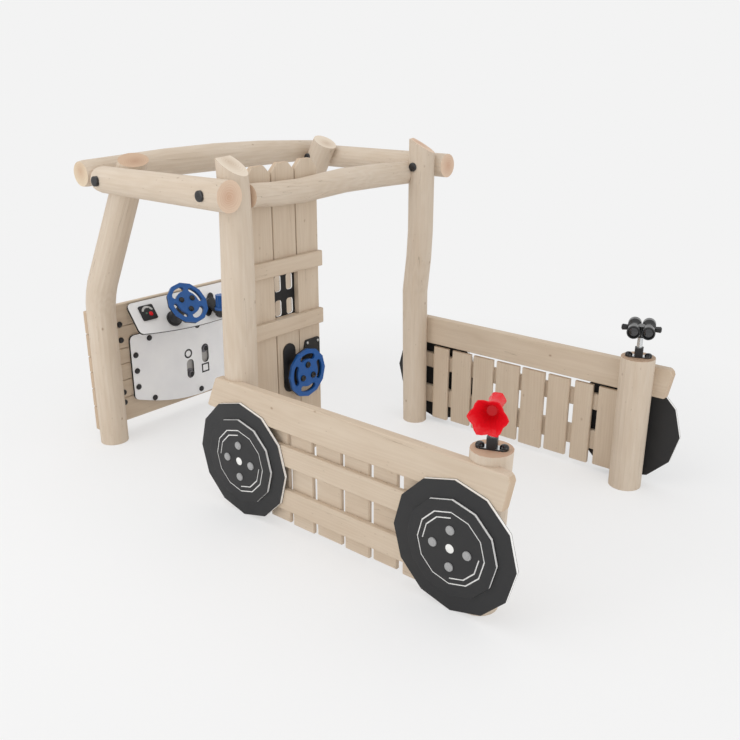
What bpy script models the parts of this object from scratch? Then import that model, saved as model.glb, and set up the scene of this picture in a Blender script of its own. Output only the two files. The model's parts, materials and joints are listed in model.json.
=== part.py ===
"""Timber play truck for a playground: barked poles, plank sides, plate wheels and turning play fittings.

+X points to the open tail, +Y to the truck's right-hand side and +Z up; the ground is Z = 0.
All lengths are in metres.
"""

import math

import bmesh
import bpy
from mathutils import Matrix, Vector

# ---------------------------------------------------------------- driving dimensions
FIT = 0.0003                # gap between two pieces that touch

# Poles
ROW = 0.6805                # from the middle to the row of posts on each side
POST_FRONT_X = -1.304       # foot of the two bent front posts
POST_MID_X = -0.158         # foot of the two tall posts behind the cab
POST_TAIL_X = 1.178         # foot of the two short tail posts
POST_FRONT_R = 0.077
POST_NEAR_MID_R = 0.077
POST_FAR_MID_R = 0.071
POST_TAIL_R = 0.083
POST_TAIL_H = 0.691
KINK_Z = 0.877              # height at which a front post bends
KINK_ANGLE = math.radians(29.5)
POLE_SIDES = 20             # flats around a pole

# Roof poles
ROOF_Z = 1.509              # centre of the two side poles
FRONT_TOP_Z = ROOF_Z + 0.091  # height of each sloping cut at the post's axis
MID_NEAR_TOP_Z = ROOF_Z + 0.113
MID_FAR_TOP_Z = ROOF_Z + 0.113
ROOF_SIDE_Y = ROW + 0.1065  # the side poles lie half outside the posts
ROOF_SIDE_R0 = 0.064        # at the front end
ROOF_NEAR_R1 = 0.070        # at the tail end
ROOF_FAR_R1 = 0.064
ROOF_NEAR_END_X = -0.068
ROOF_FAR_END_X = -0.060
ROOF_FRONT_X = -1.084
ROOF_FRONT_Z = ROOF_Z + 0.041
ROOF_FRONT_R = 0.075
ROOF_FRONT_HALF = ROOF_SIDE_Y + 0.058  # half length of the front cross pole
ROOF_BOLT_X0 = -0.949
ROOF_BOLT_X1 = -0.178

# Side fences
RAIL_OUT_Y = ROW + 0.0917   # outer face of every rail
TOP_RAIL_T = 0.045
NEAR_RAIL_Z0 = 0.498
FAR_RAIL_Z0 = 0.486
TOP_RAIL_H = 0.156
TOP_RAIL_X1 = 1.338         # tail end of the top rail
NEAR_RAIL_X0 = -0.327
FAR_RAIL_X0 = -0.285
LOW_RAIL_T = 0.030
LOW_RAIL_X0 = -0.240
LOW_RAIL_X1 = 1.195
MID_RAIL_Z0 = 0.330
MID_RAIL_H = 0.100
BOTTOM_RAIL_Z0 = 0.107
BOTTOM_RAIL_H = 0.108
SLAT_T = 0.020
SLAT_Z0 = 0.026
SLAT_SETS = (0.000, 0.006, 0.002, 0.009, 0.004, 0.011, 0.003, 0.008)
SLAT_X0 = -0.074
SLAT_WIDTHS = (0.104, 0.128, 0.131, 0.146, 0.139, 0.128, 0.103, 0.110)
SLAT_GAPS = (0.028, 0.017, 0.022, 0.018, 0.021, 0.029, 0.032)

# Plate wheels, bolted fast
WHEEL_R = 0.285
WHEEL_FRONT_X = -0.083
WHEEL_BASE = 1.194
WHEEL_CLEAR = 0.002         # under each wheel
WHEEL_SIDES = 12
WHEEL_T = 0.016
HUB_R = 0.207
HUB_T = 0.015
WHEEL_BOLT_RING = 0.080
WHEEL_BOLT_R = 0.019
WHEEL_BOLT_H = 0.010

# Dashboard wall
WALL_IN_X = -1.366          # inner face of the planks
WALL_T = 0.030
WALL_HALF = 0.735
WALL_Z0 = 0.060
WALL_PLANKS = (0.143, 0.107, 0.098, 0.092, 0.132, 0.132)
WALL_GAP = 0.003
WEDGE_Y = 0.400             # the outer two of the three wedges behind the upper panel
WEDGE_T = 0.045

# Panels on the dashboard wall
PANEL_T = 0.015
PANEL_HALF = 0.486
PANEL_CORNER = 0.030
TILT = math.radians(37.0)   # the upper panel's normal above the horizontal
UPPER_TOP_Z = 0.746         # rear top edge of the upper panel
UPPER_SIDE = 0.196          # its slope length at the sides
UPPER_BELLY = 0.036         # and how much longer it is in the middle
POCKET = 0.006              # depth of the knobs' pockets in the lower panel's rear
LOWER_TOP_Z = 0.566
LOWER_SIDE = 0.396
LOWER_BELLY = 0.094
SLOT_W = 0.054
SLOT_L = 0.121
SLOT_NEAR_Y = -0.0715
SLOT_NEAR_Z = 0.260
SLOT_FAR_Y = 0.0495
SLOT_FAR_Z = 0.3315
SLIDER_R = 0.0185
SLIDER_OUT = 0.012          # how far a slider knob stands out
SLIDER_FOOT_R = SLOT_W / 2 + 0.005

# Bolt caps that belong to a pole
ROOF_CAP_R = 0.021
ROOF_CAP_Y = ROOF_SIDE_Y + 0.079  # outer face of every cap on the two side poles
ROOF_CAP_H = 0.010

# Steering wheel and its twin on the back wall
RIM_R = 0.127
RIM_SIDES = 12
RIM_BACK_T = 0.008
RIM_FRONT_T = 0.012
RIM_SLOT_IN = 0.072
RIM_SLOT_OUT = 0.101
RIM_SLOT_ANGLE = math.radians(52.0)
RIM_FLANGE_R = 0.048        # the shaft's flange behind the wheel
RIM_FLANGE_T = 0.006
SHAFT_R = 0.012
STEER_Y = -0.2256
STEER_DROP = 0.137          # down the slope from the panel's top edge
STEER_RISE = 0.161          # panel to the rear face of the wheel
STEER_TURN = math.radians(-63.0)
STEER_FLANGE_R = 0.047
STEER_SKEW = (-0.009, -0.017)  # the column's foot lies off its head: across and up the slope
SHAFT_SEAT = 0.030          # floor of the steering column's bore above the panel
GAUGE_Y = -0.380
GAUGE_DROP = 0.078
GAUGE_W = 0.098
GAUGE_H = 0.092
GAUGE_T = 0.008
SELECT_Y = 0.0463
SELECT_DROP = 0.123
SELECT_REACH = 0.112        # from the panel to the selector's upright axis
SELECT_Z = 0.628            # centre height of the arm
SELECT_EAR = 0.066          # the foot's two round ears, from its middle
SELECT_EAR_R = 0.017
SELECT_TURN = math.radians(-36.0)
SELECT_SOCKET_R = 0.038
SELECT_KNOB_R = 0.031
SELECT_KNOB_H = 0.090
SELECT_SKIRT_R = 0.040
SELECT_FLUTES = 10

# Back wall of the cab
BACK_X = -0.213             # tail face of its planks
BACK_T = 0.028
BACK_Y0 = -0.5595
BACK_PLANK = 0.150
BACK_GAP = 0.004
BACK_Z0 = 0.090
BACK_TOP_Z = ROOF_Z + 0.091
BATTEN_T = 0.028
BATTEN_H = 0.077
BATTEN_LOW_Z = 0.787
BATTEN_HIGH_Z = 1.083
WINDOW_LAP = 0.002          # the middle plank ends this far inside each batten's edge
FRAME_T = 0.010
FRAME_LAP = 0.018           # how far the window sheet reaches behind the wood round its hole
PANE_W = 0.044
PANE_H = 0.081
PANE_R = 0.014
PANE_BAR_UP = 0.034         # upright bar between the panes
PANE_BAR_ACROSS = 0.043
PANES_SHIFT = (0.006, -0.008)  # the panes lie off the middle of the hole
STADIUM_W = 0.083
STADIUM_H = 0.256
STADIUM_Z = 0.594
STADIUM_T = 0.006
AXLE_Y = -0.255
AXLE_Z = 0.559
AXLE_STAND = 0.036          # wall to the rear face of the wheel
AXLE_SEAT = 0.004           # floor of the bracket's bore above the wall
BRACKET_Y = -0.167
BRACKET_W = 0.106
BRACKET_Z0 = 0.500
BRACKET_Z1 = 0.711
BRACKET_T = 0.008

# Horn and binoculars on the tail posts
TURN = math.radians(21.2)   # both stand turned by this much
FOOT_L = 0.124
FOOT_W = 0.042
FOOT_T = 0.005
STEM_W = 0.040
STEM_H = 0.048
TUBE_R = 0.0135
HORN_Z = POST_TAIL_H + 0.167
HORN_REAR = 0.067           # from the tube's axis to the rear end
HORN_FRONT = 0.118          # and to the bell's mouth
BELL_R = 0.070
HORN_NECK_R = 0.024
HORN_REAR_R = 0.032
HORN_WALL = 0.004
HORN_LOBES = 6
HORN_SWELL = 0.0065         # half the difference between a lobe's tip and its valley
BINO_Z = POST_TAIL_H + 0.145
BINO_HALF = 0.090
BINO_SPACING = 0.067
BINO_END_R = 0.0325
BINO_WAIST_R = 0.021
EAR_REACH = 0.093
EAR_R = 0.0155

COLLECTION = "timber_play_truck"


# ---------------------------------------------------------------- helpers
def fresh_scene():
    for obj in list(bpy.data.objects):
        bpy.data.objects.remove(obj, do_unlink=True)
    for name in (COLLECTION, "cutters"):
        collection = bpy.data.collections.new(name)
        bpy.context.scene.collection.children.link(collection)


def material(name, colour, roughness, metallic=0.0):
    made = bpy.data.materials.new(name)
    made.use_nodes = True
    shader = made.node_tree.nodes["Principled BSDF"]
    shader.inputs["Base Color"].default_value = (*colour, 1.0)
    shader.inputs["Roughness"].default_value = roughness
    shader.inputs["Metallic"].default_value = metallic
    made.diffuse_color = (*colour, 1.0)
    return made


def make_materials():
    return {
        "wood": material("sanded_robinia", (0.62, 0.50, 0.37), 0.6),
        "charcoal": material("charcoal_plastic", (0.045, 0.045, 0.048), 0.55),
        "white": material("white_panel", (0.75, 0.75, 0.76), 0.4),
        "black": material("black_plastic", (0.02, 0.02, 0.022), 0.45),
        "blue": material("blue_plastic", (0.03, 0.12, 0.45), 0.4),
        "red": material("red_plastic", (0.70, 0.01, 0.02), 0.3),
        "steel": material("steel", (0.62, 0.62, 0.64), 0.3, 1.0),
    }


def link(name, mesh, surface, where=COLLECTION):
    obj = bpy.data.objects.new(name, mesh)
    bpy.data.collections[where].objects.link(obj)
    if surface:
        mesh.materials.clear()
        mesh.materials.append(surface)
    return obj


def cutter(obj):
    """Turn an object into a hidden guide that only cuts."""
    for collection in list(obj.users_collection):
        collection.objects.unlink(obj)
    bpy.data.collections["cutters"].objects.link(obj)
    obj.hide_render = True
    obj.display_type = "WIRE"
    return obj


def boolean(obj, tool, operation="DIFFERENCE"):
    modifier = obj.modifiers.new(tool.name, "BOOLEAN")
    modifier.operation = operation
    modifier.solver = "EXACT"
    modifier.object = tool
    return obj


def bevel(obj, width, segments=1):
    modifier = obj.modifiers.new("bevel", "BEVEL")
    modifier.width = width
    modifier.segments = segments
    modifier.limit_method = "ANGLE"
    return obj


def smooth(mesh, angle=35.0):
    mesh.shade_smooth()
    mesh.set_sharp_from_angle(angle=math.radians(angle))


def box(name, low, high, surface, where=COLLECTION):
    """A box between its lowest and its highest corner."""
    low, high = Vector(low), Vector(high)
    matrix = Matrix.Translation((low + high) / 2) @ Matrix.Diagonal((*(high - low), 1.0))
    bm = bmesh.new()
    bmesh.ops.create_cube(bm, size=1.0, matrix=matrix)
    mesh = bpy.data.meshes.new(name)
    bm.to_mesh(mesh)
    bm.free()
    return link(name, mesh, surface, where)


def curve_to_mesh(name, curve, surface, where, matrix=Matrix.Identity(4)):
    """Bake a curve to a closed mesh whose caps are welded on."""
    source = bpy.data.objects.new(name + "_curve", curve)
    source.matrix_world = matrix
    bpy.data.collections["cutters"].objects.link(source)
    evaluated = source.evaluated_get(bpy.context.evaluated_depsgraph_get())
    mesh = bpy.data.meshes.new_from_object(evaluated)
    mesh.name = name
    bm = bmesh.new()
    bm.from_mesh(mesh)
    bmesh.ops.remove_doubles(bm, verts=bm.verts, dist=0.00001)
    bmesh.ops.recalc_face_normals(bm, faces=bm.faces)
    bm.to_mesh(mesh)
    bm.free()
    obj = link(name, mesh, surface, where)
    obj.matrix_world = matrix
    bpy.data.objects.remove(source, do_unlink=True)
    bpy.data.curves.remove(curve)
    return obj


def pole(name, points, radii, surface, grow=0.0, where=COLLECTION, sides=POLE_SIDES):
    """A barked pole: a poly curve that has its own radius at each point."""
    curve = bpy.data.curves.new(name, "CURVE")
    curve.dimensions = "3D"
    curve.bevel_depth = 1.0
    curve.bevel_resolution = sides // 2 - 2
    curve.use_fill_caps = True
    curve.render_resolution_u = 0
    spline = curve.splines.new("POLY")
    spline.points.add(len(points) - 1)
    for knot, place, radius in zip(spline.points, points, radii):
        knot.co = (*place, 1.0)
        knot.radius = radius + grow
    obj = curve_to_mesh(name, curve, surface, where)
    smooth(obj.data, 50.0)
    return obj


def plate(name, outlines, thickness, matrix, surface, where=COLLECTION):
    """A flat outline, with further outlines as holes, on the matrix's XY plane; it rises along Z."""
    curve = bpy.data.curves.new(name, "CURVE")
    curve.dimensions = "2D"
    curve.fill_mode = "BOTH"
    curve.extrude = thickness / 2
    curve.render_resolution_u = 0
    for outline in outlines:
        spline = curve.splines.new("POLY")
        spline.points.add(len(outline) - 1)
        for knot, place in zip(spline.points, outline):
            knot.co = (place[0], place[1], 0.0, 1.0)
        spline.use_cyclic_u = True
    lift = Matrix.Translation((0.0, 0.0, thickness / 2))
    return curve_to_mesh(name, curve, surface, where, matrix @ lift)


def turned(name, profile, steps, matrix, surface, where=COLLECTION):
    """Turn a profile of (radius, height) pairs, listed from top to bottom down its outer side, about Z."""
    mesh = bpy.data.meshes.new(name)
    points = [(radius, 0.0, height) for radius, height in profile]
    edges = [(index, index + 1) for index in range(len(points) - 1)]
    mesh.from_pydata(points, edges, [])
    obj = link(name, mesh, surface, where)
    obj.matrix_world = matrix
    screw = obj.modifiers.new("turn", "SCREW")
    screw.steps = steps
    screw.render_steps = steps
    screw.use_merge_vertices = True
    screw.merge_threshold = 0.00001
    screw.use_smooth_shade = True
    return obj


def bake(obj):
    """Replace an object's modifiers by the mesh that they give."""
    evaluated = obj.evaluated_get(bpy.context.evaluated_depsgraph_get())
    mesh = bpy.data.meshes.new_from_object(evaluated)
    mesh.name = obj.name
    obj.modifiers.clear()
    obj.data = mesh
    return obj


def united(name, pieces, surface, where=COLLECTION):
    """Fuse overlapping pieces into one solid."""
    whole = pieces[0]
    whole.name = name
    for piece in pieces[1:]:
        boolean(whole, cutter(bake(piece)), "UNION")
    return whole


def slice_off(obj, point, normal):
    """Cut away what lies beyond a plane given in world space, and close the cut."""
    bm = bmesh.new()
    bm.from_mesh(obj.data)
    geometry = bm.verts[:] + bm.edges[:] + bm.faces[:]
    cut = bmesh.ops.bisect_plane(bm, geom=geometry, plane_co=point, plane_no=normal, clear_outer=True)
    rim = [item for item in cut["geom_cut"] if isinstance(item, bmesh.types.BMEdge)]
    bmesh.ops.contextual_create(bm, geom=rim)
    bmesh.ops.recalc_face_normals(bm, faces=bm.faces)
    bm.to_mesh(obj.data)
    bm.free()
    smooth(obj.data, 50.0)
    return obj


def basis(origin, x_axis, y_axis):
    """A frame from its origin and two unit axes."""
    x_axis, y_axis = Vector(x_axis), Vector(y_axis)
    z_axis = x_axis.cross(y_axis)
    matrix = Matrix((x_axis, y_axis, z_axis)).transposed().to_4x4()
    return Matrix.Translation(origin) @ matrix


def arc(centre, radius, start, end, steps):
    return [(centre[0] + radius * math.cos(start + (end - start) * k / steps),
             centre[1] + radius * math.sin(start + (end - start) * k / steps)) for k in range(steps + 1)]


def regular(sides, radius, phase=0.0):
    return [(radius * math.cos(phase + 2 * math.pi * k / sides),
             radius * math.sin(phase + 2 * math.pi * k / sides)) for k in range(sides)]


def rounded(width, height, corner, centre=(0.0, 0.0), steps=4):
    """A rectangle with round corners, anticlockwise."""
    points = []
    for turn, (sx, sy) in enumerate(((1, 1), (-1, 1), (-1, -1), (1, -1))):
        middle = (centre[0] + sx * (width / 2 - corner), centre[1] + sy * (height / 2 - corner))
        points += arc(middle, corner, turn * math.pi / 2, (turn + 1) * math.pi / 2, steps)
    return points


def arc_slot(middle_angle):
    """One curved hand slot of the play wheels, with round ends."""
    radius = (RIM_SLOT_IN + RIM_SLOT_OUT) / 2
    half = (RIM_SLOT_OUT - RIM_SLOT_IN) / 2
    reach = RIM_SLOT_ANGLE / 2
    start, end = middle_angle - reach, middle_angle + reach
    first = (radius * math.cos(start), radius * math.sin(start))
    last = (radius * math.cos(end), radius * math.sin(end))
    points = arc((0.0, 0.0), RIM_SLOT_OUT, start, end, 6)
    points += arc(last, half, end, end + math.pi, 4)[1:-1]
    points += arc((0.0, 0.0), RIM_SLOT_IN, end, start, 6)
    points += arc(first, half, start + math.pi, start + 2 * math.pi, 4)[1:-1]
    return points


def belly(half_width, side_depth, extra, steps=14):
    """A panel outline: straight on top, round corners, and a lower edge that hangs deepest in the middle."""
    corner = PANEL_CORNER
    points = arc((half_width - corner, -corner), corner, 0.0, math.pi / 2, 4)
    points += arc((corner - half_width, -corner), corner, math.pi / 2, math.pi, 4)
    points += arc((corner - half_width, corner - side_depth), corner, math.pi, math.pi * 1.4, 3)
    reach = half_width - corner
    for k in range(1, steps):
        across = reach * (2 * k / steps - 1)
        points.append((across, -side_depth - extra * (1 - (across / reach) ** 2)))
    points += arc((half_width - corner, corner - side_depth), corner, math.pi * 1.6, math.pi * 2, 3)
    return points


def dome(name, radius, height, matrix, root=0.004, steps=12):
    """A domed bolt cap on the matrix's XY plane, with a root that reaches into its host."""
    profile = [(0.0, height), (radius * 0.60, height * 0.86), (radius, height * 0.35), (radius, -root),
               (0.0, -root)]
    return turned(name, profile, steps, matrix, None, "cutters")


# ---------------------------------------------------------------- frames and derived places
WHEEL_Z = WHEEL_R + WHEEL_CLEAR
WHEEL_IN_Y = RAIL_OUT_Y + FIT
PANEL_NORMAL = Vector((math.cos(TILT), 0.0, math.sin(TILT)))
PANEL_UP = Vector((-math.sin(TILT), 0.0, math.cos(TILT)))
UPPER_REAR = Vector((WALL_IN_X + FIT, 0.0, UPPER_TOP_Z))


def on_upper_panel(across, drop, rise=0.0):
    """Frame on the upper panel's face: X to the truck's right, Y up the slope, Z out of the panel."""
    origin = UPPER_REAR + PANEL_NORMAL * (PANEL_T + rise) - PANEL_UP * drop + Vector((0.0, across, 0.0))
    return basis(origin, (0, 1, 0), PANEL_UP)


def on_plane_x(x, y=0.0, z=0.0):
    """Frame on a wall that faces the tail: X to the truck's right, Y up, Z to the tail."""
    return basis((x, y, z), (0, 1, 0), (0, 0, 1))


def facing_side(side, x, y, z):
    """Frame that faces out of one side of the truck."""
    return basis((x, y, z), (-side, 0, 0), (0, 0, 1))


# ---------------------------------------------------------------- poles
def front_post_axis(side):
    """Axis of a bent front post from the ground to its cut top."""
    foot = Vector((POST_FRONT_X, side * ROW, 0.0))
    bend = 0.12
    points = [foot, foot + Vector((0.0, 0.0, KINK_Z - bend))]
    for k in (1, 2, 3):
        angle = KINK_ANGLE * k / 4
        step = Vector((math.sin(angle), 0.0, math.cos(angle))) * (bend / 2)
        points.append(points[-1] + step)
    along = Vector((math.sin(KINK_ANGLE), 0.0, math.cos(KINK_ANGLE)))
    rise = (FRONT_TOP_Z - points[-1].z) / along.z
    points += [points[-1] + along * rise * part for part in (0.35, 0.7, 1.0)]
    points.append(points[-1] + along * 0.08)
    radii = [POST_FRONT_R] * 2 + [POST_FRONT_R * 1.02] * 3
    radii += [POST_FRONT_R * part for part in (0.99, 0.96, 0.92, 0.92)]
    return points, radii


def front_top(side):
    return front_post_axis(side)[0][-2]


def near_mid_axis():
    top = MID_NEAR_TOP_Z
    shifts = ((-0.05, -0.035, 1.0), (0.45, -0.026, 1.0), (0.95, -0.011, 1.01), (top - 0.322, -0.001, 0.96),
              (top - 0.122, -0.001, 0.91), (top - 0.002, -0.010, 0.89), (top + 0.098, -0.020, 0.88))
    points = [Vector((POST_MID_X + dx, -ROW, z)) for z, dx, part in shifts]
    return points, [POST_NEAR_MID_R * part for z, dx, part in shifts]


def far_mid_axis():
    shifts = ((-0.05, -0.014, 0.98), (0.45, -0.024, 1.00), (0.80, -0.030, 1.01), (1.00, -0.008, 1.00),
              (1.15, 0.000, 0.99), (MID_FAR_TOP_Z + 0.098, 0.000, 1.00))
    points = [Vector((POST_MID_X + dx, ROW, z)) for z, dx, part in shifts]
    return points, [POST_FAR_MID_R * part for z, dx, part in shifts]


def tail_axis(side):
    """Axis of a tail post; it runs past the foot and the top, which are sawn level."""
    lean = 0.028 if side < 0 else 0.0
    heights = (-0.05, POST_TAIL_H / 2, POST_TAIL_H + 0.05)
    points = [Vector((POST_TAIL_X + lean * (z / POST_TAIL_H - 0.2), side * ROW, z)) for z in heights]
    return points, [POST_TAIL_R * part for part in (0.97, 0.98, 1.0)]


def tail_top(side):
    low, high = tail_axis(side)[0][0], tail_axis(side)[0][-1]
    return low.lerp(high, (POST_TAIL_H - low.z) / (high.z - low.z))


def roof_side_axis(side):
    front = ROOF_FRONT_X + ROOF_FRONT_R * 0.86 + 2 * FIT
    tail = ROOF_NEAR_END_X if side < 0 else ROOF_FAR_END_X
    shares = (0.0, 0.015, 0.045, 0.3, 0.6, 0.85, 1.0)
    end_r = ROOF_NEAR_R1 if side < 0 else ROOF_FAR_R1
    points = [Vector((front + (tail - front) * part, side * ROOF_SIDE_Y, ROOF_Z)) for part in shares]
    radii = [ROOF_SIDE_R0 + (end_r - ROOF_SIDE_R0) * part for part in shares]
    radii[0] *= 0.74
    radii[1] *= 0.93
    return points, radii


def roof_front_axis():
    shares = (-1.0, -0.97, -0.75, -0.4, 0.0, 0.4, 0.75, 1.0)
    thin = (0.80, 0.86, 0.88, 0.96, 1.0, 0.95, 0.84, 0.78)
    points = [Vector((ROOF_FRONT_X, ROOF_FRONT_HALF * part, ROOF_FRONT_Z - 0.018 * part * part))
              for part in shares]
    return points, [ROOF_FRONT_R * part for part in thin]


def roof_rear_axis():
    knots = ((0.069 - ROW, 0.010, -0.023, 0.054), (0.13 - ROW, 0.008, -0.024, 0.053),
             (-0.45, 0.000, -0.033, 0.056), (-0.27, -0.007, -0.037, 0.058), (0.07, -0.032, -0.022, 0.061),
             (0.36, -0.058, -0.028, 0.062), (ROW + 0.02, -0.089, -0.040, 0.062))
    points = [Vector((POST_MID_X + dx, y, ROOF_Z + dz)) for y, dx, dz, radius in knots]
    return points, [radius for y, dx, dz, radius in knots]


def fence_notch(side, label, index):
    """The space that one rail takes up, for cutting the posts."""
    z0, height, thick, x0, x1 = fence_rails(side)[index]
    faces = sorted((side * (RAIL_OUT_Y - thick - FIT), side * (RAIL_OUT_Y + 0.05)))
    low = (x0 - 0.05, faces[0], z0 - FIT)
    high = (x1 + 0.05, faces[1], z0 + height + FIT)
    return cutter(box(label + "_notch_" + str(index), low, high, None, "cutters"))


def fence_rails(side):
    """Height, depth, thickness and ends of the top, the middle and the bottom rail of one fence."""
    x0 = NEAR_RAIL_X0 if side < 0 else FAR_RAIL_X0
    top = NEAR_RAIL_Z0 if side < 0 else FAR_RAIL_Z0
    return ((top, TOP_RAIL_H, TOP_RAIL_T, x0, TOP_RAIL_X1),
            (MID_RAIL_Z0, MID_RAIL_H, LOW_RAIL_T, LOW_RAIL_X0, LOW_RAIL_X1),
            (BOTTOM_RAIL_Z0, BOTTOM_RAIL_H, LOW_RAIL_T, LOW_RAIL_X0, LOW_RAIL_X1))


def wall_top_z():
    return WALL_Z0 + sum(WALL_PLANKS)


def make_poles(mats):
    wood = mats["wood"]
    seats = {
        "near": cutter(pole("roof_near_seat", *roof_side_axis(-1), None, FIT, "cutters")),
        "far": cutter(pole("roof_far_seat", *roof_side_axis(1), None, FIT, "cutters")),
        "front": cutter(pole("roof_front_seat", *roof_front_axis(), None, FIT, "cutters")),
        "near_mid": cutter(pole("near_mid_seat", *near_mid_axis(), None, FIT, "cutters")),
        "far_mid": cutter(pole("far_mid_seat", *far_mid_axis(), None, FIT, "cutters")),
    }
    wall_low = (WALL_IN_X - 0.2, -WALL_HALF - 0.1, WALL_Z0 - FIT)
    wall_high = (WALL_IN_X + FIT, WALL_HALF + 0.1, wall_top_z() + FIT)
    wall_seat = cutter(box("wall_seat", wall_low, wall_high, None, "cutters"))
    for side, label, saw in ((-1, "near", (0.32, -0.22, 0.92)), (1, "far", (0.49, 0.0, 0.87))):
        post = pole("front_post_" + label, *front_post_axis(side), wood)
        slice_off(post, front_top(side), saw)
        for seat in (wall_seat, seats["front"], seats[label]):
            boolean(post, seat)
    near_mid = pole("mid_post_near", *near_mid_axis(), wood)
    slice_off(near_mid, Vector((0.0, 0.0, 0.0)), (0.0, 0.0, -1.0))
    top = Vector((POST_MID_X, -ROW, MID_NEAR_TOP_Z))
    slice_off(near_mid, top, (0.54, 0.13, 0.83))
    slice_off(near_mid, top + Vector((-0.048, -0.012, 0.036)), (-0.30, -0.10, 1.0))
    far_mid = pole("mid_post_far", *far_mid_axis(), wood)
    slice_off(far_mid, Vector((0.0, 0.0, 0.0)), (0.0, 0.0, -1.0))
    top = Vector((POST_MID_X, ROW, MID_FAR_TOP_Z))
    slice_off(far_mid, top, (0.45, 0.24, 0.85))
    slice_off(far_mid, top + Vector((-0.048, -0.024, 0.034)), (-0.20, -0.10, 1.0))
    for side, label, mid in ((-1, "near", near_mid), (1, "far", far_mid)):
        tail = pole("tail_post_" + label, *tail_axis(side), wood)
        slice_off(tail, Vector((0.0, 0.0, 0.0)), (0.0, 0.0, -1.0))
        slice_off(tail, tail_top(side), (0.0, 0.0, 1.0))
        for index in range(3):
            notch = fence_notch(side, label, index)
            boolean(mid, notch)
            boolean(tail, notch)
        boolean(mid, seats[label])
        side_pole = pole("roof_pole_" + label, *roof_side_axis(side), wood)
        for x in (ROOF_BOLT_X0, ROOF_BOLT_X1):
            place = facing_side(side, x, side * (ROOF_CAP_Y - ROOF_CAP_H), ROOF_Z)
            root = ROOF_CAP_Y - ROOF_CAP_H - ROOF_SIDE_Y - ROOF_SIDE_R0 * 0.5
            cap = dome(label + "_cap", ROOF_CAP_R, ROOF_CAP_H, place, root)
            boolean(side_pole, cutter(bake(cap)), "UNION")
    pole("roof_pole_front", *roof_front_axis(), wood)
    rear = pole("roof_pole_rear", *roof_rear_axis(), wood)
    plank_low = (BACK_X - 0.2, BACK_Y0 - FIT, ROOF_Z - 0.2)
    plank_high = (BACK_X + FIT, back_wall_end() + FIT, ROOF_Z + 0.2)
    boolean(rear, cutter(box("back_wall_seat", plank_low, plank_high, None, "cutters")))
    boolean(rear, seats["near_mid"])
    boolean(rear, seats["far_mid"])


# ---------------------------------------------------------------- fences and wheels
def rail_outline(x0, x1, z0, height):
    """The top rail: its ends are sawn at a slant and their corners are eased."""
    z1 = z0 + height
    return [(x0, z0 + 0.008), (x0 + 0.008, z0), (x1 - 0.030, z0), (x1 - 0.024, z0 + 0.006),
            (x1, z1 - 0.030), (x1 - 0.006, z1 - 0.012), (x1 - 0.020, z1), (x0 + 0.078, z1),
            (x0 + 0.066, z1 - 0.006)]


def make_fence(side, label, mats):
    wood = mats["wood"]
    top, middle, bottom = fence_rails(side)
    frame = basis((0.0, side * RAIL_OUT_Y + (TOP_RAIL_T if side < 0 else 0.0), 0.0), (1, 0, 0), (0, 0, 1))
    outline = rail_outline(top[3], top[4], top[0], top[1])
    bevel(plate(label + "_top_rail", [outline], TOP_RAIL_T, frame, wood), 0.005)
    bars = []
    for index, (z0, height, thick, x0, x1) in enumerate((middle, bottom)):
        faces = sorted((side * RAIL_OUT_Y, side * (RAIL_OUT_Y - thick)))
        rail = box(f"{label}_rail_{index}", (x0, faces[0], z0), (x1, faces[1], z0 + height), wood)
        bars.append(bevel(rail, 0.005))
    start = SLAT_X0
    # The slats are let into the rails by a millimetre, as one nailed panel.
    outer = RAIL_OUT_Y - LOW_RAIL_T + 0.001
    faces = sorted((side * outer, side * (outer - SLAT_T)))
    for index, (width, gap) in enumerate(zip(SLAT_WIDTHS, (*SLAT_GAPS, 0.0))):
        low = (start, faces[0], SLAT_Z0 + SLAT_SETS[index])
        high = (start + width, faces[1], top[0] - FIT)
        bars.append(bevel(box(f"{label}_slat_{index}", low, high, wood), 0.004))
        start += width + gap
    bake(bars[0])
    united(label + "_slat_panel", bars, wood)


def make_wheels(mats):
    for side, label in ((-1, "near"), (1, "far")):
        for x, end in ((WHEEL_FRONT_X, "front"), (WHEEL_FRONT_X + WHEEL_BASE, "rear")):
            place = facing_side(side, x, side * WHEEL_IN_Y, WHEEL_Z)
            plate(f"wheel_{end}_{label}", [regular(WHEEL_SIDES, WHEEL_R)], WHEEL_T, place, mats["charcoal"])
            seat = place @ Matrix.Translation((0.0, 0.0, WHEEL_T + FIT))
            hub_name = f"hub_plate_{end}_{label}"
            hub = plate(hub_name, [regular(WHEEL_SIDES, HUB_R)], HUB_T, seat, mats["charcoal"])
            for k in range(4):
                spot = regular(4, WHEEL_BOLT_RING)[k]
                cap_seat = seat @ Matrix.Translation((*spot, HUB_T))
                cap = dome(f"cap_{end}_{label}_{k}", WHEEL_BOLT_R, WHEEL_BOLT_H, cap_seat)
                boolean(hub, cutter(bake(cap)), "UNION")


# ---------------------------------------------------------------- dashboard
def make_dash_wall(mats):
    z = WALL_Z0
    for index, height in enumerate(WALL_PLANKS):
        low = (WALL_IN_X - WALL_T, -WALL_HALF, z + WALL_GAP / 2)
        high = (WALL_IN_X, WALL_HALF, z + height - WALL_GAP / 2)
        bevel(box(f"dash_plank_{index + 1}", low, high, mats["wood"]), 0.004)
        z += height
    top = UPPER_REAR - PANEL_UP * 0.012 - PANEL_NORMAL * FIT
    toe = UPPER_REAR - PANEL_UP * (UPPER_SIDE - 0.030) - PANEL_NORMAL * FIT
    outline = [(top.x, top.z), (WALL_IN_X + FIT, top.z), (WALL_IN_X + FIT, toe.z), (toe.x, toe.z)]
    for label, y in (("near", -WEDGE_Y), ("middle", 0.0), ("far", WEDGE_Y)):
        frame = basis((0.0, y + WEDGE_T / 2, 0.0), (1, 0, 0), (0, 0, 1))
        plate("dash_wedge_" + label, [outline], WEDGE_T, frame, mats["wood"])


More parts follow.
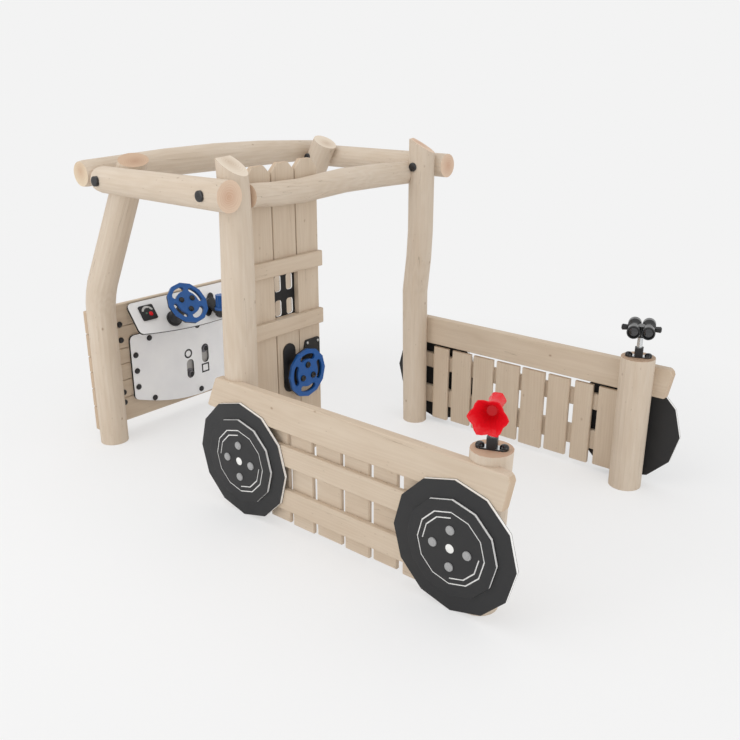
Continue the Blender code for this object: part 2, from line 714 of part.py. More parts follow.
def slider_slots():
    return (("near", SLOT_NEAR_Y, SLOT_NEAR_Z), ("far", SLOT_FAR_Y, SLOT_FAR_Z))


def make_panels(mats):
    upper = belly(PANEL_HALF, UPPER_SIDE, UPPER_BELLY)
    plate("dash_panel_upper", [upper], PANEL_T, on_upper_panel(0.0, 0.0, -PANEL_T), mats["white"])
    lower = belly(PANEL_HALF, LOWER_SIDE, LOWER_BELLY)
    slots = [rounded(SLOT_W, SLOT_L, SLOT_W / 2 - 1e-5, (y, z - LOWER_TOP_Z), 6)
             for label, y, z in slider_slots()]
    frame = on_plane_x(WALL_IN_X + FIT, 0.0, LOWER_TOP_Z)
    panel = plate("dash_panel_lower", [lower, *slots], PANEL_T, frame, mats["white"])
    width = 2 * (SLIDER_FOOT_R + 0.002)
    length = SLOT_L - SLOT_W + width
    for label, y, z in slider_slots():
        place = on_plane_x(WALL_IN_X - 0.01, y, z)
        pocket = [rounded(width, length, width / 2 - 1e-5, (0.0, 0.0), 6)]
        boolean(panel, cutter(plate("pocket_" + label, pocket, 0.01 + FIT + POCKET, place, None, "cutters")))


def make_slider(name, y, z, mats):
    """A knob on a flat foot that runs in the panel's rear pocket."""
    rear = WALL_IN_X + FIT
    foot = POCKET - FIT
    out = PANEL_T + SLIDER_OUT
    knob = [(0.0, out), (SLIDER_R * 0.8, out), (SLIDER_R, out - 0.004), (SLIDER_R, foot),
            (SLIDER_FOOT_R, foot), (SLIDER_FOOT_R, 0.0), (0.0, 0.0)]
    turned(name, knob, 20, on_plane_x(rear, y, z), mats["black"])


def make_rim(prefix, place, shaft_reach, mats):
    """A play wheel: a flanged shaft, a black rear plate and a blue front plate."""
    holes = [arc_slot(k * math.pi / 2) for k in range(4)]
    outline = regular(RIM_SIDES, RIM_R)
    flange = RIM_FLANGE_R
    shaft = [(0.0, -FIT), (flange, -FIT), (flange, -RIM_FLANGE_T), (SHAFT_R, -RIM_FLANGE_T),
             (SHAFT_R, -shaft_reach), (0.0, -shaft_reach)]
    turned(prefix + "_shaft", shaft, 20, place, mats["black"])
    plate(prefix + "_rear_plate", [outline, *holes], RIM_BACK_T, place, mats["black"])
    front = place @ Matrix.Translation((0.0, 0.0, RIM_BACK_T + FIT))
    plate(prefix + "_front_plate", [outline, *holes], RIM_FRONT_T, front, mats["blue"])


def make_steering(mats):
    base = on_upper_panel(STEER_Y, STEER_DROP, FIT)
    bore = SHAFT_R + FIT
    top = STEER_RISE - RIM_FLANGE_T - FIT
    outside = ((STEER_FLANGE_R, 0.0), (STEER_FLANGE_R, 0.012), (0.040, 0.014), (0.034, 0.034), (0.027, top))
    rings = []
    for radius, along in outside:
        part = 1 - along / top
        rings.append(lobed_ring(radius, along, 1, 0.0, 24, (STEER_SKEW[0] * part, STEER_SKEW[1] * part)))
    rings += [lobed_ring(bore, along, 1, 0.0, 24) for along in (top, SHAFT_SEAT)]
    loft("steering_base", rings, base, mats["black"])
    wheel = base @ Matrix.Translation((0.0, 0.0, STEER_RISE)) @ Matrix.Rotation(STEER_TURN, 4, "Z")
    make_rim("steering", wheel, STEER_RISE - SHAFT_SEAT - FIT, mats)


def make_gauge(mats):
    place = on_upper_panel(GAUGE_Y, GAUGE_DROP, FIT)
    bevel(plate("gauge_housing", [rounded(GAUGE_W, GAUGE_H, 0.010)], GAUGE_T, place, mats["black"]), 0.002)


def make_selector(mats):
    """Elbow housing on a two-eared foot, with an upright fluted knob."""
    place = on_upper_panel(SELECT_Y, SELECT_DROP, FIT)
    ear, disc = SELECT_EAR_R, 0.040
    foot = arc((0.0, SELECT_EAR), ear, 0.0, math.pi, 6)
    foot += arc((0.0, 0.0), disc, math.radians(125), math.radians(235), 6)
    foot += arc((0.0, -SELECT_EAR), ear, math.pi, 2 * math.pi, 6)
    foot += arc((0.0, 0.0), disc, math.radians(-55), math.radians(55), 6)
    root = place.translation + PANEL_NORMAL * 0.004
    axis_x = root.x + SELECT_REACH
    upright = Matrix.Translation((axis_x, SELECT_Y, 0.0))
    socket_top = SELECT_Z + 0.020
    socket = [(0.0, socket_top), (SELECT_SOCKET_R, socket_top), (SELECT_SOCKET_R, SELECT_Z - 0.012),
              (0.028, SELECT_Z - 0.024), (0.0, SELECT_Z - 0.024)]
    knots = [root, root + PANEL_NORMAL * 0.026, Vector((axis_x - 0.038, SELECT_Y, SELECT_Z + 0.010)),
             Vector((axis_x, SELECT_Y, SELECT_Z - 0.002))]
    turned_foot = place @ Matrix.Rotation(SELECT_TURN, 4, "Z")
    housing = plate("selector_housing", [foot], 0.012, turned_foot, mats["black"])
    arm = pole("selector_arm", knots, [0.037, 0.034, 0.026, 0.018], None, 0.0, "cutters", 16)
    cup = turned("selector_socket", socket, 20, upright, None, "cutters")
    united("selector_housing", [housing, arm, cup], mats["black"])
    well_r = SELECT_SKIRT_R + 0.003
    well = [(0.0, socket_top + 0.06), (well_r, socket_top + 0.06), (well_r, socket_top), (0.0, socket_top)]
    boolean(housing, cutter(bake(turned("selector_well", well, 20, upright, None, "cutters"))))
    seat = Matrix.Translation((axis_x, SELECT_Y, socket_top + FIT))
    outline = []
    for k in range(SELECT_FLUTES * 4):
        angle = 2 * math.pi * k / (SELECT_FLUTES * 4)
        reach = SELECT_KNOB_R + 0.0025 * math.cos(SELECT_FLUTES * angle)
        outline.append((reach * math.cos(angle), reach * math.sin(angle)))
    knob = plate("selector_knob", [outline], SELECT_KNOB_H, seat, mats["blue"])
    skirt = [(0.0, 0.014), (SELECT_SKIRT_R - 0.006, 0.014), (SELECT_SKIRT_R, 0.008), (SELECT_SKIRT_R, 0.0),
             (0.0, 0.0)]
    united("selector_knob", [knob, turned("selector_skirt", skirt, 24, seat, None, "cutters")], mats["blue"])


# ---------------------------------------------------------------- back wall
def back_wall_end():
    return BACK_Y0 + 3 * BACK_PLANK + 2 * BACK_GAP


def make_back_wall(mats):
    wood = mats["wood"]
    frame = on_plane_x(BACK_X - BACK_T)
    clip = 0.040
    sill = BATTEN_LOW_Z + BATTEN_H - WINDOW_LAP
    lintel = BATTEN_HIGH_Z + WINDOW_LAP
    for index, label in enumerate(("near", "middle", "far")):
        y0 = BACK_Y0 + index * (BACK_PLANK + BACK_GAP)
        y1 = y0 + BACK_PLANK
        top = BACK_TOP_Z + 0.006 * index
        head = [(y1, top - clip), (y1 - clip, top), (y0 + clip, top), (y0, top - clip)]
        foot = BACK_Z0
        if label == "middle":
            low = [(y0, foot), (y1, foot), (y1, sill), (y0, sill)]
            bevel(plate("back_plank_middle", [low], BACK_T, frame, wood), 0.004)
            label, foot = "middle_top", lintel
        bevel(plate("back_plank_" + label, [[(y0, foot), (y1, foot), *head]], BACK_T, frame, wood), 0.004)
    reach = ROW - POST_NEAR_MID_R * 1.01 - FIT
    for label, z in (("lower", BATTEN_LOW_Z), ("upper", BATTEN_HIGH_Z)):
        low = (BACK_X + FIT, -reach, z)
        high = (BACK_X + FIT + BATTEN_T, back_wall_end() + 0.002, z + BATTEN_H)
        bevel(box("back_batten_" + label, low, high, wood), 0.004)
    middle = BACK_Y0 + 1.5 * BACK_PLANK + BACK_GAP
    reach_y, reach_z = (PANE_W + PANE_BAR_UP) / 2, (PANE_H + PANE_BAR_ACROSS) / 2
    panes = [rounded(PANE_W, PANE_H, PANE_R, (PANES_SHIFT[0] + sy * reach_y, PANES_SHIFT[1] + sz * reach_z))
             for sy in (-1, 1) for sz in (-1, 1)]
    width, height = BACK_PLANK + 2 * (BACK_GAP + FRAME_LAP), lintel - sill + 2 * FRAME_LAP
    outer = rounded(width, height, 0.012)
    frame = on_plane_x(BACK_X - BACK_T - FRAME_T - FIT, middle, (sill + lintel) / 2)
    plate("window_frame", [outer, *panes], FRAME_T, frame, mats["black"])
    stadium = on_plane_x(BACK_X + FIT, middle, STADIUM_Z)
    outline = rounded(STADIUM_W, STADIUM_H, STADIUM_W / 2 - 1e-5, (0.0, 0.0), 6)
    plate("finger_plate", [outline], STADIUM_T, stadium, mats["black"])


def make_back_rim(mats):
    place = on_plane_x(BACK_X + FIT, AXLE_Y, AXLE_Z)
    low, high = BRACKET_Z0 - AXLE_Z, BRACKET_Z1 - AXLE_Z
    left = BRACKET_Y - BRACKET_W / 2 - AXLE_Y
    right = BRACKET_Y + BRACKET_W / 2 - AXLE_Y
    outline = [(left, low), (right - 0.012, low), (right, low + 0.012)]
    outline += arc((right - 0.014, high - 0.014), 0.014, 0.0, math.pi / 2, 4)
    outline += arc((left + 0.014, high - 0.014), 0.014, math.pi / 2, math.pi, 4)
    outline += arc((0.0, 0.0), 0.0275, math.radians(70), math.radians(290), 10)
    bracket = plate("back_bracket", [outline], BRACKET_T, place, mats["black"])
    bore = SHAFT_R + FIT
    top = AXLE_STAND - RIM_FLANGE_T - FIT
    boss = [(0.0, top), (0.024, top), (0.026, BRACKET_T - 0.004), (0.0, BRACKET_T - 0.004)]
    drill = [(0.0, top + 0.01), (bore, top + 0.01), (bore, AXLE_SEAT), (0.0, AXLE_SEAT)]
    boolean(bracket, cutter(bake(turned("back_boss", boss, 20, place, None, "cutters"))), "UNION")
    boolean(bracket, cutter(bake(turned("back_drill", drill, 20, place, None, "cutters"))))
    wheel = place @ Matrix.Translation((0.0, 0.0, AXLE_STAND))
    make_rim("back_wheel", wheel, AXLE_STAND - AXLE_SEAT - FIT, mats)


# ---------------------------------------------------------------- horn and binoculars
def foot_frame(side):
    """Frame on top of a tail post: X along the foot plate, Z up."""
    return Matrix.Translation(tail_top(side) + Vector((0.0, 0.0, FIT))) @ Matrix.Rotation(TURN, 4, "Z")


def make_foot(label, side, mats):
    place = foot_frame(side)
    outline = rounded(FOOT_L, FOOT_W, FOOT_W / 2 - 1e-5, (0.0, 0.0), 6)
    foot = plate(label + "_foot", [outline], FOOT_T, place, mats["black"])
    square = rounded(STEM_W, STEM_W, 0.006, (0.0, 0.0), 2)
    stem = cutter(plate(label + "_stem", [square], STEM_H, place, None, "cutters"))
    boolean(foot, stem, "UNION")
    bore = TUBE_R + FIT
    drill = [(0.0, STEM_H + 0.01), (bore, STEM_H + 0.01), (bore, 0.008), (0.0, 0.008)]
    boolean(foot, cutter(bake(turned(label + "_drill", drill, 16, place, None, "cutters"))))


def make_tube(label, side, top_z, mats):
    place = foot_frame(side)
    height = top_z - place.translation.z
    profile = [(0.0, height), (TUBE_R, height), (TUBE_R, 0.008 + FIT), (0.0, 0.008 + FIT)]
    turned(label + "_tube", profile, 16, place, mats["steel"])


def loft(name, rings, matrix, surface):
    """Skin a list of closed rings, each a list of points, and cap the first and the last."""
    bm = bmesh.new()
    rows = [[bm.verts.new(point) for point in ring] for ring in rings]
    for lower, upper in zip(rows, rows[1:]):
        count = len(lower)
        for k in range(count):
            bm.faces.new((lower[k], lower[(k + 1) % count], upper[(k + 1) % count], upper[k]))
    bm.faces.new(reversed(rows[0]))
    bm.faces.new(rows[-1])
    bmesh.ops.recalc_face_normals(bm, faces=bm.faces)
    mesh = bpy.data.meshes.new(name)
    bm.to_mesh(mesh)
    bm.free()
    obj = link(name, mesh, surface)
    obj.matrix_world = matrix
    smooth(mesh, 40.0)
    return obj


def lobed_ring(radius, along, lobes, depth, steps, shift=(0.0, 0.0)):
    """A ring whose radius and height swell at each lobe; it may be shifted sideways."""
    ring = []
    for k in range(steps):
        angle = 2 * math.pi * k / steps
        swell = depth * math.cos(lobes * angle)
        reach = radius + swell
        x = shift[0] + reach * math.cos(angle)
        y = shift[1] + reach * math.sin(angle)
        ring.append((x, y, along + 0.5 * swell))
    return ring


def make_horn(mats):
    place = foot_frame(-1)
    # Z of the loft runs out of the bell's mouth, which faces the foot plate's -Y side.
    centre = Matrix.Translation((0.0, 0.0, HORN_Z - place.translation.z))
    facing = place @ centre @ Matrix.Rotation(math.pi / 2, 4, "X")
    steps = HORN_LOBES * 4
    span = HORN_FRONT - 0.030
    shape = [(HORN_REAR_R, -HORN_REAR, 0.002), (HORN_REAR_R * 0.94, -HORN_REAR + 0.008, 0.002),
             (HORN_NECK_R * 1.1, -HORN_REAR + 0.030, 0.0), (HORN_NECK_R, -0.020, 0.0),
             (HORN_NECK_R, 0.020, 0.0)]
    outer = [lobed_ring(radius, along, HORN_LOBES, depth, steps) for radius, along, depth in shape]
    flare = []
    for part in (0.0, 0.25, 0.5, 0.75, 0.92, 1.0):
        radius = HORN_NECK_R + (BELL_R - HORN_NECK_R) * (0.35 * part + 0.65 * part ** 2.2)
        flare.append((radius, 0.030 + span * part, HORN_SWELL * part ** 1.5))
    outer += [lobed_ring(radius, along, HORN_LOBES, depth, steps) for radius, along, depth in flare]
    inner = [lobed_ring(radius - HORN_WALL, along + (0.0 if part else 0.012), HORN_LOBES, depth, steps)
             for part, (radius, along, depth) in enumerate(flare)]
    horn = loft("horn_bell", outer + inner[::-1], facing, mats["red"])
    boss_top = HORN_Z - place.translation.z
    boss_low = boss_top - 0.044
    boss = [(0.0, boss_top), (0.019, boss_top), (0.018, boss_low), (0.0, boss_low)]
    boolean(horn, cutter(bake(turned("horn_boss", boss, 18, place, None, "cutters"))), "UNION")
    bore = TUBE_R + FIT
    depth = boss_top - HORN_NECK_R * 0.45
    drill = [(0.0, depth), (bore, depth), (bore, boss_low - 0.02), (0.0, boss_low - 0.02)]
    boolean(horn, cutter(bake(turned("horn_drill", drill, 16, place, None, "cutters"))))
    make_tube("horn", -1, place.translation.z + depth - FIT, mats)


def make_binoculars(mats):
    place = foot_frame(1)
    height = BINO_Z - place.translation.z
    facing = place @ Matrix.Translation((0.0, 0.0, height)) @ Matrix.Rotation(math.pi / 2, 4, "X")
    half = BINO_HALF
    profile = [(0.0, half - 0.010), (BINO_END_R * 0.70, half - 0.010), (BINO_END_R * 0.80, half),
               (BINO_END_R * 0.94, half), (BINO_END_R, half - 0.006), (BINO_END_R, half - 0.040),
               (BINO_WAIST_R, half - 0.062), (BINO_WAIST_R, 0.062 - half), (BINO_END_R, 0.040 - half),
               (BINO_END_R, 0.006 - half), (BINO_END_R * 0.94, -half), (BINO_END_R * 0.80, -half),
               (BINO_END_R * 0.70, 0.010 - half), (0.0, 0.010 - half)]
    barrels = []
    for label, offset in (("left", -BINO_SPACING / 2), ("right", BINO_SPACING / 2)):
        spot = facing @ Matrix.Translation((offset, 0.0, 0.0))
        barrels.append(cutter(bake(turned("barrel_" + label, profile, 20, spot, None, "cutters"))))
    bridge = plate("bino_bridge", [rounded(BINO_SPACING, 0.030, 0.004)], 0.060,
                   facing @ Matrix.Translation((0.0, 0.0, -0.030)), None, "cutters")
    reaches = (-EAR_REACH, -0.088, -0.05, 0.05, 0.088, EAR_REACH)
    ears = pole("bino_ears", [facing @ Vector((x, 0.0, 0.0)) for x in reaches],
                [EAR_R * part for part in (0.6, 1.0, 0.8, 0.8, 1.0, 0.6)], None, 0.0, "cutters", 12)
    boss_low = height - 0.044
    boss = [(0.0, height), (0.021, height), (0.021, boss_low), (0.0, boss_low)]
    body = bake(turned("binoculars", boss, 20, place, mats["black"]))
    for tool in (*barrels, cutter(bridge), cutter(ears)):
        boolean(body, tool, "UNION")
    bore = TUBE_R + FIT
    depth = height - 0.004
    drill = [(0.0, depth), (bore, depth), (bore, boss_low - 0.02), (0.0, boss_low - 0.02)]
    boolean(body, cutter(bake(turned("bino_drill", drill, 16, place, None, "cutters"))))
    make_tube("bino", 1, place.translation.z + depth - FIT, mats)


# ---------------------------------------------------------------- build
def main():
    fresh_scene()
    mats = make_materials()
    make_poles(mats)
    make_fence(-1, "near", mats)
    make_fence(1, "far", mats)
    make_wheels(mats)
    make_dash_wall(mats)
    make_panels(mats)
    low = SLOT_NEAR_Z - (SLOT_L - SLOT_W) / 2
    high = SLOT_FAR_Z + (SLOT_L - SLOT_W) / 2
    make_slider("slider_near", SLOT_NEAR_Y, low, mats)
    make_slider("slider_far", SLOT_FAR_Y, high, mats)
    make_steering(mats)
    make_gauge(mats)
    make_selector(mats)
    make_back_wall(mats)
    make_back_rim(mats)
    make_foot("horn", -1, mats)
    make_horn(mats)
    make_foot("bino", 1, mats)
    make_binoculars(mats)


main()
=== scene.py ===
# %% [markdown]
# # A timber play truck
# The real object is a walk-in play truck for a playground. Barked robinia poles make the cab, sawn boards
# make the sides, coloured polyethylene sheets make the wheels and the dashboard, and moulded play fittings
# turn. The measured solids come first. They set every place, so a new piece is put where a solid's box
# says.

# %% Load the measured frame
import json
import math

import bmesh
import bpy
from mathutils import Matrix, Vector

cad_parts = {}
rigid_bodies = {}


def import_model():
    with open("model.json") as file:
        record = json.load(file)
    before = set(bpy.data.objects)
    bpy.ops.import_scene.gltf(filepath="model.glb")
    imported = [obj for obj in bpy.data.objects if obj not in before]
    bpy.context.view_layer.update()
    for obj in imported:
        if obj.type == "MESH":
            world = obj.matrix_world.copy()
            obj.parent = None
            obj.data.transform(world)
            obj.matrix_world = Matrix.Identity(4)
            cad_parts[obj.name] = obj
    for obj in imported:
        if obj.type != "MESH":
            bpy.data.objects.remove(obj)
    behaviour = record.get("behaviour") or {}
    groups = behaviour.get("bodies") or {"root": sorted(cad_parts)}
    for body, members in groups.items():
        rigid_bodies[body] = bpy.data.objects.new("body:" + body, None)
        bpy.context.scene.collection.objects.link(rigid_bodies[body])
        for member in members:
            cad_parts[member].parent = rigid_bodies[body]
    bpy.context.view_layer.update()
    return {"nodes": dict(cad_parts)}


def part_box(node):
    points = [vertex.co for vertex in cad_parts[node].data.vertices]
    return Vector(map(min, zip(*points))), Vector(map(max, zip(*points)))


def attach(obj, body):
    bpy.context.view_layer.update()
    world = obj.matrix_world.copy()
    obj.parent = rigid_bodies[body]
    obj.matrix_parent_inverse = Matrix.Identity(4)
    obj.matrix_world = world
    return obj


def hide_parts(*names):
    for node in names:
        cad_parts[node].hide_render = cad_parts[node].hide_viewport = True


for leftover in list(bpy.data.objects):
    bpy.data.objects.remove(leftover, do_unlink=True)
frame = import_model()
nodes = frame["nodes"]

# %% [markdown]
# ## Camera
# The camera stands a little above head height off the rear corner, as a visitor would see the truck. Its
# place and its lens were solved from the truck's own right angles, so it is set as plain numbers.

# %% Place the camera
CAMERA_PLACE = (2.697, -3.1715, 2.021)
CAMERA_TURN = (math.radians(70.403), 0.0, math.radians(39.945))
CAMERA_LENS = 41.37

camera_data = bpy.data.cameras.new("camera")
camera_data.lens = CAMERA_LENS
camera_data.sensor_width = 36.0
camera = bpy.data.objects.new("camera", camera_data)
camera.location = CAMERA_PLACE
camera.rotation_euler = CAMERA_TURN
bpy.context.scene.collection.objects.link(camera)
bpy.context.scene.camera = camera

# %% [markdown]
# ## Colour and nodes
# A colour is written as the sRGB hex code that a paint chart would give, and a shader wants linear light,
# so one function turns the first into the second. A second small function adds any node with its settings
# and links. That keeps each material short enough to read as a recipe.


# %% Colour and node helpers
def linear(code):
    """An sRGB hex colour as linear red, green, blue and alpha."""
    parts = [int(code[k:k + 2], 16) / 255 for k in (0, 2, 4)]
    return (*[part / 12.92 if part <= 0.04045 else ((part + 0.055) / 1.055) ** 2.4 for part in parts], 1.0)


def add(tree, kind, inputs=None, stops=(), **settings):
    """Add a node; an input may be a value or another node's output, and stops fill a colour ramp."""
    made = tree.nodes.new(kind)
    for name, value in settings.items():
        setattr(made, name, value)
    for name, value in (inputs or {}).items():
        if isinstance(value, bpy.types.NodeSocket):
            tree.links.new(value, made.inputs[name])
        else:
            made.inputs[name].default_value = value
    for index, (position, code) in enumerate(stops):
        elements = made.color_ramp.elements
        element = elements[index] if index < 2 else elements.new(position)
        element.position = position
        element.color = linear(code) if isinstance(code, str) else (code, code, code, 1.0)
    return made


def finish_material(name, **values):
    """A new material with one Principled shader, and its node tree to build on."""
    made = bpy.data.materials.new(name)
    made.use_nodes = True
    tree = made.node_tree
    tree.nodes.clear()
    shader = add(tree, "ShaderNodeBsdfPrincipled",
                 {key.replace("_", " "): value for key, value in values.items()})
    add(tree, "ShaderNodeOutputMaterial", {"Surface": shader.outputs["BSDF"]})
    return made, tree, shader


print("one step of grey:", linear("808080")[0])

# %% [markdown]
# ## Robinia
# The poles are robinia stems with the bark taken off and the sapwood sanded. The eye sees a pale straw
# colour with long fine streaks along the stem, soft patches of darker heartwood, thin drying checks, a few
# small knots, and a warm, ringed end where the saw went across. A printed wrap could be laid round each
# stem, but its streaks would stop at every cut. Here the wood is solid: every pattern is worked out in
# space and is stretched along the stem, so a sawn face shows rings by itself.


# %% Solid wood
FIBRE_MM = 7.0              # streak spacing; real fibres are too fine to see from here
RING_MM = 9.0               # growth rings, drawn coarser than the real 3 mm
CHECK_MM = 26.0             # spacing of the drying checks round the stem
CAP_REACH = 0.0213          # a screw cap on a roof pole, with a hair to spare
CAP_FROM_Y = 0.840          # and how far out it starts
ROOF_CAPS = ((-0.949, 1.509), (-0.178, 1.509))  # the caps' places along and up a roof pole
PATCH_MM = 120.0            # size of the tone patches across the stem


def stretched(along, across_mm, share):
    """A scale vector: one pattern cell each across_mm across the grain, and share times as many along it."""
    across = 1000.0 / across_mm
    return tuple(across * share if part else across for part in along)


def wood(name, along, centre, light, dark, ends, bend=None, ring_mm=RING_MM, figure=0.30, knots=0.0,
         rails=None, caps=()):
    """Solid wood that grows along one axis.

    bend=(height, slope) follows a stem that leans above a height, and rails=(side, face) turns the grain to
    run along X where a point lies further out to that side than the face. Each of the caps is a screw cap's
    centre in X and Z on the outer side of the stem, which is black plastic.
    """
    made, tree, shader = finish_material(name, Roughness=0.62, Specular_IOR_Level=0.28)
    texture = add(tree, "ShaderNodeTexCoord")
    place = add(tree, "ShaderNodeVectorMath", {0: texture.outputs["Object"], 1: centre}, operation="SUBTRACT")
    stem = place.outputs[0]
    if bend:
        height, slope = bend
        split = add(tree, "ShaderNodeSeparateXYZ", {0: stem})
        above = add(tree, "ShaderNodeMath", {0: split.outputs["Z"], 1: height}, operation="SUBTRACT")
        risen = add(tree, "ShaderNodeMath", {0: above.outputs[0], 1: 0.0}, operation="MAXIMUM")
        shift = add(tree, "ShaderNodeMath", {0: risen.outputs[0], 1: -slope}, operation="MULTIPLY")
        moved = add(tree, "ShaderNodeCombineXYZ", {"X": shift.outputs[0]})
        stem = add(tree, "ShaderNodeVectorMath", {0: stem, 1: moved.outputs[0]}).outputs[0]
    normal = texture.outputs["Normal"]
    if rails:
        side_of, face = rails
        split = add(tree, "ShaderNodeSeparateXYZ", {0: texture.outputs["Object"]})
        out = add(tree, "ShaderNodeMath", {0: split.outputs["Y"], 1: side_of}, operation="MULTIPLY")
        is_rail = add(tree, "ShaderNodeMath", {0: out.outputs[0], 1: face},
                      operation="GREATER_THAN").outputs[0]
        swapped = []
        for value in (stem, normal):
            parts = add(tree, "ShaderNodeSeparateXYZ", {0: value})
            turned = add(tree, "ShaderNodeCombineXYZ", {"X": parts.outputs["Z"], "Y": parts.outputs["Y"],
                                                        "Z": parts.outputs["X"]})
            swapped.append(add(tree, "ShaderNodeMix", {0: is_rail, 4: value, 5: turned.outputs[0]},
                               data_type="VECTOR").outputs[1])
        stem, normal = swapped

    def noise(scale, detail, distortion=0.0):
        cell = add(tree, "ShaderNodeVectorMath", {0: stem, 1: scale}, operation="MULTIPLY")
        return add(tree, "ShaderNodeTexNoise", {"Vector": cell.outputs[0], "Scale": 1.0, "Detail": detail,
                                                "Roughness": 0.6, "Distortion": distortion}).outputs["Fac"]

    fibre = noise(stretched(along, FIBRE_MM, 0.025), 4.0)
    patch = noise(stretched(along, PATCH_MM, 0.22), 3.0)
    warp = noise(stretched(along, 70.0, 0.12), 2.0)
    # Rings: distance from the pith, pushed about by slow noise.
    flat = tuple(0.0 if part else 1.0 for part in along)
    cross = add(tree, "ShaderNodeVectorMath", {0: stem, 1: flat}, operation="MULTIPLY")
    radius = add(tree, "ShaderNodeVectorMath", {0: cross.outputs[0]}, operation="LENGTH")
    pushed = add(tree, "ShaderNodeMath", {0: warp, 1: 0.045, 2: radius.outputs["Value"]},
                 operation="MULTIPLY_ADD")
    phase = add(tree, "ShaderNodeMath", {0: pushed.outputs[0], 1: 2 * math.pi * 1000 / ring_mm},
                operation="MULTIPLY")
    wave = add(tree, "ShaderNodeMath", {0: phase.outputs[0]}, operation="SINE")
    ring = add(tree, "ShaderNodeMapRange", {"Value": wave.outputs[0], "From Min": -1.0, "From Max": 1.0,
                                            "To Min": 0.0, "To Max": 1.0})
    # Tone along the stem: fibres, patches and a little of the rings.
    tone_a = add(tree, "ShaderNodeMath", {0: fibre, 1: 0.20, 2: 0.08}, operation="MULTIPLY_ADD")
    tone_b = add(tree, "ShaderNodeMath", {0: patch, 1: 0.50, 2: tone_a.outputs[0]}, operation="MULTIPLY_ADD")
    tone = add(tree, "ShaderNodeMath", {0: ring.outputs[0], 1: figure * 0.30, 2: tone_b.outputs[0]},
               operation="MULTIPLY_ADD")
    side = add(tree, "ShaderNodeValToRGB", {"Fac": tone.outputs[0]}, stops=((0.30, light), (0.85, dark)))
    # Drying checks: thin dark lines where a long noise crosses its middle, only in some patches.
    check = noise(stretched(along, CHECK_MM, 0.03), 1.0)
    near = add(tree, "ShaderNodeMath", {0: check, 1: 0.47, 2: 0.0035}, operation="COMPARE")
    some = add(tree, "ShaderNodeMapRange", {"Value": warp, "From Min": 0.52, "From Max": 0.62, "To Max": 0.5})
    crack = add(tree, "ShaderNodeMath", {0: near.outputs[0], 1: some.outputs[0]}, operation="MULTIPLY")
    side = add(tree, "ShaderNodeMix", {0: crack.outputs[0], 6: side.outputs["Color"], 7: linear("7C6850")},
               data_type="RGBA").outputs[2]
    # Short dark dashes where a fibre was torn, and small knots.
    for across, share, size, code, weight in ((30.0, 0.40, 0.060, "86694F", 0.45),
                                              (120.0, 0.7, 0.042, "8A6A50", knots)):
        cell = add(tree, "ShaderNodeVectorMath", {0: stem, 1: stretched(along, across, share)},
                   operation="MULTIPLY")
        eye = add(tree, "ShaderNodeTexVoronoi", {"Vector": cell.outputs[0], "Scale": 1.0, "Randomness": 1.0})
        spot = add(tree, "ShaderNodeMapRange", {"Value": eye.outputs["Distance"], "From Min": size * 0.4,
                                                "From Max": size * 1.6, "To Min": weight * 0.8,
                                                "To Max": 0.0})
        side = add(tree, "ShaderNodeMix", {0: spot.outputs[0], 6: side, 7: linear(code)},
                   data_type="RGBA").outputs[2]
    # Sawn ends: warmer, ringed, with a darker heart.
    heart = add(tree, "ShaderNodeMapRange", {"Value": radius.outputs["Value"], "From Max": 0.075})
    end_tone = add(tree, "ShaderNodeMath", {0: ring.outputs[0], 1: 0.35, 2: heart.outputs[0]},
                   operation="MULTIPLY_ADD")
    sawn = add(tree, "ShaderNodeValToRGB", {"Fac": end_tone.outputs[0]},
               stops=((0.0, ends[0]), (1.15, ends[1])))
    facing = add(tree, "ShaderNodeVectorMath", {0: normal, 1: tuple(float(v) for v in along)},
                 operation="DOT_PRODUCT")
    size = add(tree, "ShaderNodeMath", {0: facing.outputs["Value"]}, operation="ABSOLUTE")
    is_end = add(tree, "ShaderNodeMapRange", {"Value": size.outputs[0], "From Min": 0.62, "From Max": 0.74})
    colour = add(tree, "ShaderNodeMix", {0: is_end.outputs[0], 6: side, 7: sawn.outputs["Color"]},
                 data_type="RGBA").outputs[2]
    rough = add(tree, "ShaderNodeMapRange", {"Value": fibre, "From Min": 0.3, "From Max": 0.7,
                                             "To Min": 0.56, "To Max": 0.70}).outputs[0]
    if caps:
        level = add(tree, "ShaderNodeVectorMath", {0: texture.outputs["Object"], 1: (1.0, 0.0, 1.0)},
                    operation="MULTIPLY")
        gaps = [add(tree, "ShaderNodeVectorMath", {0: level.outputs[0], 1: (x, 0.0, z)},
                    operation="DISTANCE").outputs["Value"] for x, z in caps]
        nearest = add(tree, "ShaderNodeMath", {0: gaps[0], 1: gaps[1]}, operation="MINIMUM")
        split = add(tree, "ShaderNodeSeparateXYZ", {0: texture.outputs["Object"]})
        out = add(tree, "ShaderNodeMath", {0: split.outputs["Y"]}, operation="ABSOLUTE")
        outer = add(tree, "ShaderNodeMath", {0: out.outputs[0], 1: CAP_FROM_Y}, operation="GREATER_THAN")
        close = add(tree, "ShaderNodeMath", {0: nearest.outputs[0], 1: CAP_REACH}, operation="LESS_THAN")
        is_cap = add(tree, "ShaderNodeMath", {0: outer.outputs[0], 1: close.outputs[0]}, operation="MULTIPLY")
        colour = add(tree, "ShaderNodeMix", {0: is_cap.outputs[0], 6: colour, 7: linear("1C1C1E")},
                     data_type="RGBA").outputs[2]
        rough = add(tree, "ShaderNodeMix", {0: is_cap.outputs[0], 2: rough, 3: 0.34}).outputs[0]
    tree.links.new(colour, shader.inputs["Base Color"])
    tree.links.new(rough, shader.inputs["Roughness"])
    grain = add(tree, "ShaderNodeMath", {0: crack.outputs[0], 1: -1.2, 2: fibre}, operation="MULTIPLY_ADD")
    bump = add(tree, "ShaderNodeBump", {"Height": grain.outputs[0], "Strength": 0.5, "Distance": 0.0012})
